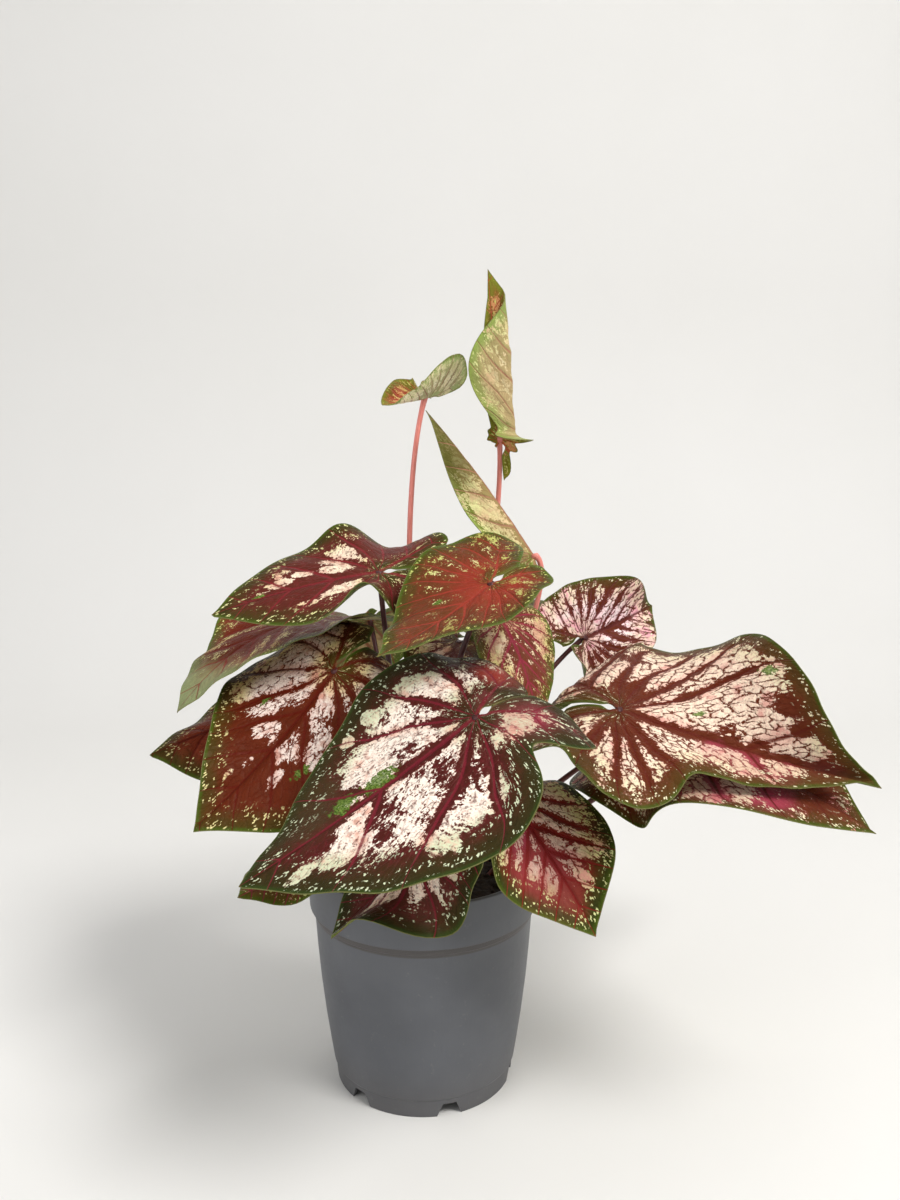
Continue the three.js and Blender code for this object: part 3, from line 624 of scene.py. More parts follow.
def vein_field(x, y, length, fans, laterals):
    """Where a point of the flat half leaf lies among the lateral veins, each at a whole number of order.

    near is the distance to the nearest lateral, run how far along it the point is, along and off the
    place beside the basal vein, which runs from the hub down the lobe.
    """
    slope = 1 / math.tan(VEIN_ANGLE)
    opening = (BASAL_ANGLE - 2 * VEIN_ANGLE) / fans
    spacing = laterals * length
    back_spacing = 0.2 * length
    bent = x - y * y * (VEIN_BEND / length)
    front = bent - y * slope
    heading = form("ARCTAN2", y, bent)
    along = bent * math.cos(BASAL_ANGLE) + y * math.sin(BASAL_ANGLE)
    off = form("ABSOLUTE", bent * math.sin(BASAL_ANGLE) - y * math.cos(BASAL_ANGLE))
    basal = along - off * slope
    radius = form("SQRT", bent * bent + y * y)
    in_front = form("GREATER_THAN", front, 0.0)
    in_back = (1 - in_front) * form("GREATER_THAN", basal, 0.0)
    in_fan = 1 - in_front - in_back
    fan = form("MINIMUM", (heading - VEIN_ANGLE) / opening, float(fans))
    past = form("MAXIMUM", (heading - BASAL_ANGLE) / opening, 0.0)
    order = in_back * (fans + basal / back_spacing) + in_fan * (fan + past) - in_front * front / spacing
    steep = y * (2 * VEIN_BEND / length) + slope
    gap = in_front * spacing / form("SQRT", steep * steep + 1)
    gap = gap + in_back * (back_spacing * math.sin(VEIN_ANGLE)) + in_fan * radius * opening
    near = form("ABSOLUTE", order - form("ROUND", order)) * gap
    across = 1 / math.sin(VEIN_ANGLE)
    run = in_front * y * across + in_back * off * across + in_fan * radius
    return order, near, run, along, off


def leaf_finish(name, look, length, seed, roughness):
    """Blotched leaf: a dark ground that turns green at the margin, veins, and torn pale blotches between."""
    finish = Finish(name, **{"IOR": 1.38, "Specular IOR Level": 0.13, "Specular Tint": (1.0, 0.88, 0.7)})
    x, y, margin = finish.parts("lay")
    flat_x, flat_y, _ = finish.parts("flat")
    edge, side, _ = finish.parts("edge")
    order, near, run, along, off = vein_field(x, y, length, look["fans"], look["laterals"])
    lane = form("MAXIMUM", order, 0.0) + form("MINIMUM", order, 0.0) * (look["laterals"] * length / 20)
    here = finish.point(flat_x + seed * 37.0, flat_y + seed * 11.0)

    def away_from_spot(spot_x, spot_y, long, wide, turn=0):
        """Distance from a spot of the flat leaf, as a share of the spot's size."""
        c, s = math.cos(math.radians(turn)), math.sin(math.radians(turn))
        ahead, aside = flat_x - spot_x, flat_y - spot_y
        u, v = (ahead * c + aside * s) / long, (aside * c - ahead * s) / wide
        return form("SQRT", u * u + v * v)

    fine = finish.noise(here, 1.1, 3.0, 0.6)
    tear = finish.noise(here, 1 / 2.6, 4.0, 0.62)
    broad = finish.noise(here, 1 / 8.0, 3.0, 0.6)
    wide = finish.noise(here, 1 / 21.0, 1.0, 0.5)

    # Veins: lateral, midrib and basal, each thinning outwards
    width = (finish.ease(margin, 0.0, 26.0) * 0.5 + 0.2) * look["vein_width"]
    ahead = finish.ease(x, -1.5, 0.5)
    rib_width = (1 - x / (length * 1.08)) * (1.2 * look["vein_width"]) * ahead + 0.02
    basal_run = finish.ease(along, 0.5 * length, -1.0) * finish.ease(along, -1.5, 1.0)
    basal_width = basal_run * look["vein_width"] + 0.02
    lateral = near / width
    rib = y / rib_width
    basal = off / basal_width
    nearest = form("MINIMUM", form("MINIMUM", lateral, rib), basal)
    vein = finish.ease(nearest, 1.5, 0.5)
    bare = form("MINIMUM", form("MINIMUM", near - width * 0.5, y - rib_width), off - basal_width * 0.6)

    # Torn edges: streaks along the veins, teeth and a net of thin veins across them
    streaks = finish.noise(finish.point(run / 6.0 + seed * 5.0, lane * 7.0 + side * 9.0), 1.0, 2.0, 0.6)
    teeth = finish.noise(finish.point(run / 1.5 + seed * 3.0, lane * 1.8 + side * 9.0), 1.0, 2.0, 0.6)
    warp = finish.point(run / 5.6 + broad * 1.8, lane * 3.0 + side * 5.0 + fine * 0.35)
    mesh = finish.cells(warp, 1.0)
    inner = form("MINIMUM", (bare - look["halo"]) / 1.5, (margin - look["margin"]) / 5.0)
    inner = form("MINIMUM", inner, form("MAXIMUM", (look["span"] - x / length) * 6.0, -0.75))
    inner = form("MINIMUM", inner, 1.1)
    torn = (streaks - 0.5) * 1.8 + (teeth - 0.5) * 1.6 + (broad - 0.5) * 1.8 + (tear - 0.5) * 2.4
    patchy = (wide - 0.5) * 4.4 + (fine - 0.5) * look["grain"]
    filled = inner + torn * look["ragged"] + patchy + look["cover"]
    for *spot, amount in look.get("spots", ()):
        filled = filled + finish.ease(away_from_spot(*spot), 1.25, 0.6) * amount
    blotched = finish.ease(filled, 0.0, 0.16)
    partial = finish.ease(filled, -0.5, 0.2)

    # Thin veins and dark specks inside the blotches
    sparse = 0.62 - 0.24 * look["net"]
    drawn = finish.ease(finish.noise(here, 1 / 4.0, 1.0), sparse, sparse + 0.18)
    net = finish.ease(mesh, 0.07 + 0.06 * look["net"], 0.03) * drawn * min(1.0, look["net"])
    dots = finish.cells(here, 0.55, "F1")
    speck = finish.ease(dots + fine * 0.5, 0.5, 0.4) * finish.ease(finish.noise(here, 1 / 3.2, 1.0), 0.5, 0.6)

    # Flecks in the border, drawn out towards the margin
    spots = finish.cells(finish.point(edge / 1.6 + fine * 0.6 + seed, margin / 2.7 + broad), 1.0, "F1")
    some = finish.noise(finish.point(edge / 9.0 + seed, margin / 3.0), 1.0, 2.0)
    kept = 0.64 - 0.2 * look["flecks"]
    fleck = finish.ease(spots + fine * 0.8 + (tear - 0.5) * 1.3, 0.66, 0.56)
    fleck = fleck * finish.ease(some, kept, kept + 0.05)
    fleck = fleck * finish.ease(margin, 0.5, 1.4)
    fleck = fleck * finish.ease(margin, look["margin"] * 1.6 + 4.0, look["margin"])

    # Colours
    shade = 0.62 + fine * 0.34 + broad * 0.42
    border = finish.ease(margin + (broad - 0.5) * 9.0, look["margin"] * 1.5 + 3.0, 2.5)
    ground = finish.mix(border, look["ground"], look["border"])
    ground = finish.mix(finish.ease(margin + (fine - 0.5) * 2.0, 2.6, 0.6), ground, look["rim"])
    ground = finish.mix(finish.ease(mesh, 0.2, 0.02) * 0.22 * (1 - border), ground, look["vein"])
    ground = finish.mix(1.0, ground, finish.point(shade, shade, shade), "MULTIPLY")
    more = 0.25 * look["washed"]
    washed = finish.ease(wide * 0.45 + broad * 0.55, 0.66 - more, 0.8 - more)
    flush = finish.ease(bare, look["halo"] + 3.5, look["halo"] * 0.5)
    outward = finish.ease(margin, look["margin"] + 14.0, look["margin"] + 3.0)
    pale = finish.mix(outward, look["blotch"], look["outer"])
    pale = finish.mix(form("MINIMUM", washed * 0.8 + flush * 0.45, 0.85), pale, look["wash"])
    pale = finish.mix(finish.ease(fine, 0.62, 0.4) * 0.3, pale, look["wash"])
    worn = finish.ease(tear + fine * 0.3, 0.66, 0.5) * look["worn"]
    pale = finish.mix(worn, pale, finish.mix(0.45, ground, look["wash"]))
    pale = finish.mix(net, pale, look["ground"])
    pale = finish.mix(speck * look["specks"], pale, look["ground"])
    for spot_x, spot_y, size, tint in look.get("tints", ()):
        share = finish.ease(away_from_spot(spot_x, spot_y, size, size) + (broad - 0.5) * 0.8, 1.3, 0.4)
        ground = finish.mix(share * 0.75 * (1 - border * 0.8), ground, tint)
        pale = finish.mix(share * 0.35, pale, tint)
    colour = finish.mix(partial * 0.16, ground, look["wash"])
    colour = finish.mix(blotched, colour, pale)
    for patch in look.get("patches", ()):
        away = away_from_spot(*patch) + (tear - 0.5) * 2.2 + (fine - 0.5) * 1.2
        green = finish.mix(finish.ease(fine, 0.38, 0.6), linear(56, 88, 24), linear(112, 136, 62))
        colour = finish.mix(finish.ease(away, 1.0, 0.8) * finish.ease(bare, -0.3, 0.6) * 0.9, colour, green)
    colour = finish.mix(fleck, colour, look["outer"])
    # Towards the tip the colour turns to another; on left_hanging this is a painted sheen where the leaf
    # curls down
    if "tip_blend" in look:
        start, tip_colour = look["tip_blend"]
        tip_share = finish.ease(x / length + broad * 0.2, start, start + 0.3) * 0.85
        colour = finish.mix(tip_share, colour, tip_colour)
    colour = finish.mix(vein * (1.0 - 0.35 * fine), colour, look["vein"])
    colour = finish.mix(finish.ease(margin, 0.5, 0.2) * 0.6, colour, linear(120, 116, 74))
    finish.feed("Base Color", colour)
    finish.feed("Roughness", 0.08 * blotched + 0.16 * fine + (roughness - 0.1))

    # Relief: sunken veins and net, and a fine grain
    sunken = finish.ease(nearest, 2.6, 0.3)
    height = fine * 0.3 + broad * 0.7 - sunken * 0.6 - finish.ease(mesh, 0.2, 0.0) * 0.45
    finish.bump(height, 0.0008, 0.6)
    return finish.material


def pot_finish():
    finish = Finish("pot_plastic", **{"IOR": 1.46, "Coat Weight": 0.05, "Coat Roughness": 0.3})
    place = finish.node("ShaderNodeNewGeometry").outputs["Position"]
    split = finish.node("ShaderNodeSeparateXYZ", [place])
    height = finish.number(split.outputs[2])
    cloud = finish.noise(place, 22.0, 3.0, flat=False)
    dust = finish.noise(place, 260.0, 4.0, 0.65, flat=False)
    drawn = finish.node("ShaderNodeMapping", {"Vector": place, "Scale": (700.0, 700.0, 14.0)})
    streak = finish.noise(drawn.outputs[0], 1.0, 2.0, flat=False)
    colour = finish.mix(finish.ease(cloud, 0.3, 0.7), linear(80, 82, 87), linear(90, 92, 97))
    # Browner towards the bottom, up to this height
    colour = finish.mix(finish.ease(height, BROWNER_BELOW_HEIGHT * MM, 0.0) * 0.3, colour, linear(90, 84, 78))
    colour = finish.mix(finish.ease(dust, 0.6, 0.78) * 0.3, colour, linear(126, 125, 123))
    colour = finish.mix(finish.ease(streak, 0.55, 0.8) * 0.12, colour, linear(70, 72, 78))
    # Painted shade in the recessed band under the collar, with a painted warm brown reflection
    low, low_full, high_full, high = (h * MM for h in GROOVE_SHADE_BAND)
    groove_shade = finish.ease(height, low, low_full) * finish.ease(height, high, high_full)
    colour = finish.mix(groove_shade * 0.7, colour, linear(70, 63, 58))
    finish.feed("Base Color", colour)
    finish.feed("Roughness", 0.36 + dust * 0.16 + cloud * 0.08)
    finish.bump(streak * 0.25 + dust * 0.3 + cloud * 0.6, 0.0003, 0.35)
    return finish.material


def soil_finish():
    finish = Finish("potting_soil")
    place = finish.node("ShaderNodeNewGeometry").outputs["Position"]
    crumb = finish.noise(place, 520.0, 5.0, 0.7, flat=False)
    clod = finish.noise(place, 90.0, 3.0, flat=False)
    colour = finish.mix(finish.ease(crumb, 0.35, 0.7), linear(22, 16, 12), linear(62, 46, 34))
    colour = finish.mix(finish.ease(clod, 0.4, 0.7) * 0.6, colour, linear(36, 26, 20))
    finish.feed("Base Color", colour)
    finish.feed("Roughness", 0.82 + crumb * 0.15)
    finish.bump(crumb + clod, 0.0012, 0.8)
    return finish.material


def petiole_finish(name, low, high, dark):
    """A smooth stalk, streaked along its length."""
    finish = Finish(name, **{"IOR": 1.42, "Coat Weight": 0.15, "Coat Roughness": 0.25})
    length, turn, _ = finish.parts("stalk")
    streak = finish.noise(finish.point(length / 16.0, turn * 2.2), 1.0, 3.0)
    patch = finish.noise(finish.point(length / 5.0, turn * 0.8), 1.0, 2.0)
    climb = finish.ease(length, 0.0, 110.0)
    colour = finish.mix(climb, low, high)
    colour = finish.mix(finish.ease(streak, 0.5, 0.72) * 0.7, colour, dark)
    colour = finish.mix(finish.ease(patch, 0.62, 0.75) * 0.3, colour, tuple(min(1.0, 1.6 * c) for c in high))
    finish.feed("Base Color", colour)
    finish.feed("Roughness", 0.34 + streak * 0.14)
    finish.bump(streak, 0.0003, 0.4)
    return finish.material


def make_object(name, points, faces, materials, slots=None):
    """A mesh object at the origin, from points in millimetres."""
    mesh = bpy.data.meshes.new(name)
    mesh.from_pydata((np.asarray(points) * MM).tolist(), [], faces)
    for material in materials:
        mesh.materials.append(material)
    if slots is not None:
        mesh.polygons.foreach_set("material_index", np.asarray(slots, dtype=np.int32))
    mesh.polygons.foreach_set("use_smooth", np.ones(len(mesh.polygons), dtype=bool))
    mesh.update()
    made = bpy.data.objects.new(name, mesh)
    bpy.context.scene.collection.objects.link(made)
    return made


def write_points(mesh, name, values):
    layer = mesh.attributes.new(name, "FLOAT_VECTOR", "POINT")
    layer.data.foreach_set("vector", np.asarray(values, dtype=np.float32).ravel())


def ride_as(piece, node):
    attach(piece, "root")
    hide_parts(node)


def lathe(profile, sides):
    """Points and faces of a profile of (radius, height) turned round the axis, from axis to axis."""
    points = []
    rings = []
    for radius, height in profile:
        if radius == 0:
            rings.append([len(points)] * sides)
            points.append((0, 0, height))
            continue
        rings.append(list(range(len(points), len(points) + sides)))
        for i in range(sides):
            angle = 2 * math.pi * i / sides
            points.append((radius * math.cos(angle), radius * math.sin(angle), height))
    faces = []
    for inner, outer in zip(rings, rings[1:]):
        for i in range(sides):
            j = (i + 1) % sides
            face = dict.fromkeys((inner[i], inner[j], outer[j], outer[i]))
            faces.append(list(face)[::-1])
    return points, faces


# Pot
COLLAR_BOTTOM = POT_HEIGHT - COLLAR_HEIGHT
BAND_BOTTOM = COLLAR_BOTTOM - BAND_HEIGHT
INNER_STEP = COLLAR_BOTTOM + 1
FLOOR_TOP = FLOOR_RISE + WALL
WALL_RUN = BAND_BOTTOM - FOOT_HEIGHT - EDGE
WALL_STATIONS = [FOOT_HEIGHT + EDGE + WALL_RUN * t for t in (0.14, 0.32, 0.55, 0.78, 1)]


def wall_radius(height):
    t = (height - FOOT_HEIGHT) / (BAND_BOTTOM - FOOT_HEIGHT)
    low = BASE_RADIUS + 1.6
    high = RIM_RADIUS - BAND_INSET - 1
    return low + (high - low) * t + BELLY * math.sin(math.pi * t)


def collar_inside(height):
    return RIM_RADIUS - RIM_WALL - (POT_HEIGHT - height) / COLLAR_HEIGHT


def corner(before, at, after, size):
    """A profile corner rounded by a short curve between its two sides."""
    before, at, after = (np.array(p, dtype=float) for p in (before, at, after))
    start = at + (before - at) * min(0.45, size / np.linalg.norm(before - at))
    end = at + (after - at) * min(0.45, size / np.linalg.norm(after - at))
    shares = [i / CORNER_STEPS for i in range(CORNER_STEPS + 1)]
    return [tuple((1 - s) ** 2 * start + 2 * s * (1 - s) * at + s * s * end) for s in shares]


def rounded(profile, size):
    made = [profile[0]]
    for before, at, after in zip(profile, profile[1:], profile[2:]):
        made += corner(before, at, after, size)
    return [*made, profile[-1]]


def pot_profile():
    foot = BASE_RADIUS + 0.8
    walls = [(wall_radius(h), h) for h in WALL_STATIONS]
    profile = [
        (0, 0), (PAD_RADIUS, 0), (PAD_RADIUS + 2.5, FLOOR_RISE), (BASE_RADIUS - 2.6, FLOOR_RISE),
        (BASE_RADIUS - 2.2, 0), (BASE_RADIUS, 0), (foot, FOOT_HEIGHT - EDGE),
        (foot + 0.9, FOOT_HEIGHT + EDGE),
        *walls,
        (RIM_RADIUS - BAND_INSET, BAND_BOTTOM + EDGE), (RIM_RADIUS - BAND_INSET, COLLAR_BOTTOM - EDGE),
        (RIM_RADIUS - 1, COLLAR_BOTTOM), (RIM_RADIUS, POT_HEIGHT - EDGE), (RIM_RADIUS - EDGE, POT_HEIGHT),
        (RIM_RADIUS - RIM_WALL + EDGE, POT_HEIGHT), (collar_inside(POT_HEIGHT), POT_HEIGHT - EDGE),
        (collar_inside(INNER_STEP), INNER_STEP),
        *[(radius - WALL, height) for radius, height in reversed(walls)],
        (BASE_RADIUS - 1, FLOOR_TOP), (PAD_RADIUS + 1.2, FLOOR_TOP), (PAD_RADIUS - 1.3, WALL), (0, WALL),
    ]
    return rounded(profile, CORNER_SIZE)


def cutter(points, faces):
    made = make_object("cutter", points, faces, [])
    made.data.validate()
    return made


def notch_cutter(angle):
    """A short trapezoid block across the foot, wider at the floor."""
    half = NOTCH_WIDTH / 2
    low, high = half + NOTCH_FLARE, half - NOTCH_SLOPE
    outline = [(-low, -1), (low, -1), (high, FLOOR_RISE - 1), (-high, FLOOR_RISE - 1)]
    depths = (-BASE_RADIUS - NOTCH_DEPTH / 2, NOTCH_DEPTH / 2 - BASE_RADIUS)
    points = []
    for depth in depths:
        for across, height in outline:
            x = across * math.cos(angle) - depth * math.sin(angle)
            y = across * math.sin(angle) + depth * math.cos(angle)
            points.append((x, y, height))
    faces = [(0, 1, 2, 3), (7, 6, 5, 4), (4, 5, 1, 0), (5, 6, 2, 1), (6, 7, 3, 2), (7, 4, 0, 3)]
    return cutter(points, faces)


def drain_cutter(angle):
    sides = DRAIN_SIDES
    middle = (DRAIN_RING * math.sin(angle), -DRAIN_RING * math.cos(angle))
    points = []
    for height in (FLOOR_RISE / 2, FLOOR_RISE * 1.5):
        for i in range(sides):
            turn = 2 * math.pi * i / sides
            points.append((
                middle[0] + DRAIN_RADIUS * math.cos(turn), middle[1] + DRAIN_RADIUS * math.sin(turn), height,
            ))
    faces = [(i, (i + 1) % sides, sides + (i + 1) % sides, sides + i) for i in range(sides)]
    return cutter(points, [*faces, tuple(reversed(range(sides))), tuple(range(sides, 2 * sides))])


def build_pot():
    points, faces = lathe(pot_profile(), POT_SIDES)
    pot = make_object("grow_pot", points, faces, [pot_finish()])
    step = 2 * math.pi / NOTCH_COUNT
    cutters = [notch_cutter(math.radians(NOTCH_PHASE) + i * step) for i in range(NOTCH_COUNT)]
    cutters += [drain_cutter(math.radians(NOTCH_PHASE) + (i + 0.5) * step) for i in range(NOTCH_COUNT)]
    group = bpy.data.collections.new("pot_cutters")
    for made in cutters:
        bpy.context.scene.collection.objects.unlink(made)
        group.objects.link(made)
    bpy.context.scene.collection.children.link(group)
    cut = pot.modifiers.new("cut", "BOOLEAN")
    cut.operand_type = "COLLECTION"
    cut.collection = group
    cut.solver = "EXACT"
    bpy.context.view_layer.update()
    shape = pot.evaluated_get(bpy.context.evaluated_depsgraph_get())
    mesh = bpy.data.meshes.new_from_object(shape)
    pot.modifiers.clear()
    pot.data = mesh
    for made in cutters:
        bpy.data.objects.remove(made)
    bpy.data.collections.remove(group)
    mesh.set_sharp_from_angle(angle=math.radians(POT_SHARP))
    ride_as(pot, "pot")


# Smooth repeatable unevenness
def ripple(u, v, seed, size, waves=7):
    """Soft bumps about size mm apart, from -1 to 1, made of a few sine waves of seeded direction."""
    draw = np.random.default_rng(seed)
    total = 0
    for _ in range(waves):
        turn = draw.uniform(0, 2 * math.pi)
        pitch = 2 * math.pi / (size * draw.uniform(0.7, 1.6))
        start = draw.uniform(0, 2 * math.pi)
        total = total + np.sin((u * math.cos(turn) + v * math.sin(turn)) * pitch + start)
    return total / waves * 1.6


def crumb_points(draw, middle, size):
    """One lump of soil: a rough ball of few faces, flattened a little."""
    made = bmesh.new()
    bmesh.ops.create_icosphere(made, subdivisions=2, radius=1)
    points = np.array([v.co for v in made.verts])
    faces = [[v.index for v in f.verts] for f in made.faces]
    made.free()
    x, y, z = points.T
    rough = 1 + 0.28 * ripple(x * 9 + z * 5, y * 9, int(draw.integers(1 << 30)), 6)
    stretch = draw.uniform(0.6, 1.3, 3) * size
    turn = draw.uniform(0, 2 * math.pi)
    x, y, z = (points * rough[:, None] * stretch).T
    c, s = math.cos(turn), math.sin(turn)
    spun = np.stack([x * c - y * s, x * s + y * c, z], 1)
    return spun + middle, faces


def build_soil():
    """Soil that fills the pot, with a crumbly top and loose lumps bedded in it."""
    top = collar_inside(SOIL_TOP) - CLEARANCE
    profile = [
        (0, WALL + CLEARANCE), (PAD_RADIUS - 1.6, WALL + CLEARANCE),
        (PAD_RADIUS + 0.9, FLOOR_TOP + CLEARANCE), (BASE_RADIUS - 1.5, FLOOR_TOP + CLEARANCE),
        *[(wall_radius(h) - WALL - CLEARANCE, h) for h in WALL_STATIONS],
        (collar_inside(INNER_STEP) - CLEARANCE, INNER_STEP),
    ]
    ring_count = len(profile)
    profile += [(top * (1 - i / SOIL_RINGS), SOIL_TOP) for i in range(SOIL_RINGS + 1)]
    points, faces = lathe(profile, SOIL_SIDES)
    points = np.array(points)
    upper = np.zeros(len(points), dtype=bool)
    upper[1 + (ring_count - 1) * SOIL_SIDES:] = True
    u, v = points[upper, 0], points[upper, 1]
    radius = np.hypot(u, v)
    inside = np.clip((top - radius) / 5, 0, 1)
    crown = SOIL_CROWN * (1 - (radius / top) ** 2)
    rough = 0.9 * ripple(u, v, 11, 17) + 0.6 * ripple(u, v, 12, 7) + 0.4 * ripple(u, v, 13, 3.2)
    points[upper, 2] += crown * inside + rough * (0.25 + 0.75 * inside) - 0.8
    draw = np.random.default_rng(5)
    all_points, all_faces = [points], list(faces)
    count = len(points)
    for _ in range(SOIL_LUMPS):
        away = top * math.sqrt(draw.uniform(0.0, 0.9))
        turn = draw.uniform(0, 2 * math.pi)
        size = draw.uniform(0.6, 2.3) ** 1.1
        height = SOIL_TOP + SOIL_CROWN * (1 - (away / top) ** 2) - 0.9 + draw.uniform(-0.4, 0.6) * size
        lump, lump_faces = crumb_points(draw, (away * math.cos(turn), away * math.sin(turn), height), size)
        all_points.append(lump)
        all_faces += [[i + count for i in face] for face in lump_faces]
        count += len(lump)
    soil = make_object("potting_mix", np.concatenate(all_points), all_faces, [soil_finish()])
    ride_as(soil, "soil")


# Petioles and blades share the solids' formulas
def unit(vector):
    return vector / np.linalg.norm(vector)


def frame_of(leaf):
    """Hub, directions ahead, up and left, and hub-to-tip distance of a leaf."""
    hub = np.array(leaf["hub"], dtype=float)
    ahead = np.array(leaf["tip"], dtype=float) - hub
    heading, height = (math.radians(v) for v in leaf["face"])
    up = np.array([
        math.cos(height) * math.cos(heading), math.cos(height) * math.sin(heading), math.sin(height),
    ])
    chord = np.linalg.norm(ahead)
    ahead = ahead / chord
    up = unit(up - up.dot(ahead) * ahead)
    return hub, ahead, up, np.cross(up, ahead), chord


def leaning(ahead, up, pitch):
    """The normal of a midrib that climbs at the angle pitch."""
    return np.cos(pitch)[..., None] * up - np.sin(pitch)[..., None] * ahead


def petiole_curve(leaf):
    """Points down the middle of a petiole, from its hole in the soil to the blade, and the blade's normal."""
    hub, ahead, up, _, _ = frame_of(leaf)
    normal = leaning(ahead, up, np.array(math.radians(leaf["bow"]) / 2))
    start = np.array([*leaf["root"], SOIL_TOP - ROOT_DEPTH], dtype=float)
    first = start + leaf["rise"]
    fall = np.array(leaf["fall"], dtype=float)
    slant = math.sqrt(max(0, 1 - (unit(fall).dot(normal)) ** 2))
    end = hub - normal * (SOLID_THICKNESS / 2 + CLEARANCE + PETIOLE_RADIUS * slant)
    last = end + fall
    share = np.linspace(0, 1, PETIOLE_STEPS)[:, None]
    back = 1 - share
    curve = back**3 * start + 3 * back**2 * share * first + 3 * back * share**2 * last + share**3 * end
    return curve, hub, normal


def build_petiole(name, leaf, material):
    """A round stalk that thins upwards, swells at the soil and spreads under the blade."""
    curve, hub, normal = petiole_curve(leaf)
    tangents = np.gradient(curve, axis=0)
    tangents /= np.linalg.norm(tangents, axis=1)[:, None]
    run = np.concatenate([[0], np.cumsum(np.linalg.norm(np.diff(curve, axis=0), axis=1))])
    share = run / run[-1]
    swell = 0.35 * np.exp(-run / 16)
    spread = 0.3 * np.exp((run - run[-1]) / 4)
    radii = PETIOLE_RADIUS * (1.32 - 0.36 * share + swell + spread)
    side = unit(np.cross(tangents[0], (0.3, 1, 0.2)))
    turns = 2 * math.pi * np.arange(PETIOLE_SIDES) / PETIOLE_SIDES
    points = [curve[0][None, :]]
    stalk = [(0, 0, 0)]
    for place, tangent, radius, away in zip(curve, tangents, radii, run):
        side = unit(side - side.dot(tangent) * tangent)
        other = np.cross(tangent, side)
        groove = 1 - 0.1 * np.exp(-((turns - math.pi) / 0.5) ** 2)
        ring = np.cos(turns)[:, None] * side + np.sin(turns)[:, None] * other
        points.append(place + ring * (radius * groove)[:, None])
        stalk += [(away, turn, 0) for turn in turns]
    # The last ring lies flat against the blade
    flat_side = unit(side - side.dot(normal) * normal)
    flat_other = np.cross(normal, flat_side) * np.sign(tangents[-1].dot(normal) or 1)
    ring = np.cos(turns)[:, None] * flat_side + np.sin(turns)[:, None] * flat_other
    points += [hub - normal * 0.12 + ring * (PETIOLE_RADIUS * 1.35), (hub - normal * 0.05)[None, :]]
    stalk += [(run[-1], turn, 0) for turn in turns] + [(run[-1], 0, 0)]
    faces = []
    count = PETIOLE_STEPS + 1
    for i in range(PETIOLE_SIDES):
        j = (i + 1) % PETIOLE_SIDES
        faces.append((0, 1 + j, 1 + i))
        for k in range(count - 1):
            low, high = 1 + k * PETIOLE_SIDES, 1 + (k + 1) * PETIOLE_SIDES
            faces.append((low + i, low + j, high + j, high + i))
        last = 1 + (count - 1) * PETIOLE_SIDES
        faces.append((last + i, last + j, last + PETIOLE_SIDES))
    stem = make_object(f"stalk_{name}", np.concatenate(points), faces, [material])
    write_points(stem.data, "stalk", stalk)
    ride_as(stem, f"petiole_{name}")


def arc(length, angle, turn):
    """Sine and cosine of a bend that starts at an angle and turns evenly, summed over a length."""
    rate = np.where(np.abs(turn) < 1e-6, 1e-6, turn)
    end = angle + rate * length
    return (np.sin(end) - np.sin(angle)) / rate, (np.cos(angle) - np.cos(end)) / rate


def smooth(low, high, value):
    t = np.clip((value - low) / (high - low), 0, 1)
    return t * t * (3 - 2 * t)


def sided(pair, right):
    return np.where(right, pair[1], pair[0])


def bumps(degrees, pair, right):
    total = 0
    for station, *amounts in zip(STATIONS, *pair):
        total = total + sided(amounts, right) * np.exp(-(((degrees - station) / STATION_SPREAD) ** 2))
    return total


def reach(leaf, right, degrees):
    """How far the margin lies from the hub, as a share of the midrib, at an angle from the tip."""
    width = sided(leaf["width"], right)
    point = (1 - width - SPIKE) * np.exp(-degrees / leaf["full"]) + SPIKE * np.exp(-degrees / 5)
    lobe = 1 + leaf["lobe"] * np.exp(-(((degrees - LOBE_AT) / LOBE_SPREAD) ** 2))
    notch = 1 - SINUS * smooth(NOTCH_FROM, 180, degrees)
    return (width + point) * lobe * notch * (1 + bumps(degrees, leaf["bulge"], right))


def bend(leaf, length, ring, degrees, x, y, right):
    """Where points of the flat leaf go when it is bowed, creased, curled and waved."""
    hub, ahead, up, left, _ = frame_of(leaf)
    bow = math.radians(leaf["bow"])
    front_turn = -bow / length
    back_turn = math.radians(leaf["droop"]) / (BACK_SHARE * length)
    front = np.maximum(x, 0)
    back = np.maximum(-x, 0)
    front_ahead, front_up = arc(front, bow / 2, front_turn)
    back_ahead, back_up = arc(back, bow / 2, back_turn)
    pitch = bow / 2 + front_turn * front + back_turn * back
    fold = np.radians(sided(leaf["fold"], right) + sided(leaf["roll"], right) * smooth(0, 1, x / length))
    curl = np.radians(sided(leaf["curl"], right)) / (sided(leaf["width"], right) * length)
    over = np.radians(leaf.get("flap", 0)) * smooth(-CREASE, CREASE, x) * right
    stretches = (
        arc(np.minimum(y, CREASE), 0, fold / CREASE),
        arc(np.clip(y - CREASE, 0, FLAP_ARC), fold, over / FLAP_ARC + curl),
        arc(np.maximum(y - CREASE - FLAP_ARC, 0), fold + over + curl * FLAP_ARC, curl),
    )
    across, rise = (sum(stretch[k] for stretch in stretches) for k in (0, 1))
    phase = np.radians(degrees) * WAVES_PER_SIDE + 1.5 * right
    wave = leaf.get("wave", WAVE_HEIGHT) * np.sin(phase) * smooth(4, 30, degrees)
    lift = rise + ring**2 * (wave + bumps(degrees, leaf["lift"], right))
    out = across * np.where(right, -1, 1)
    return (
        hub + (front_ahead - back_ahead)[:, None] * ahead + (front_up - back_up)[:, None] * up
        + out[:, None] * left + lift[:, None] * leaning(ahead, up, pitch)
    )


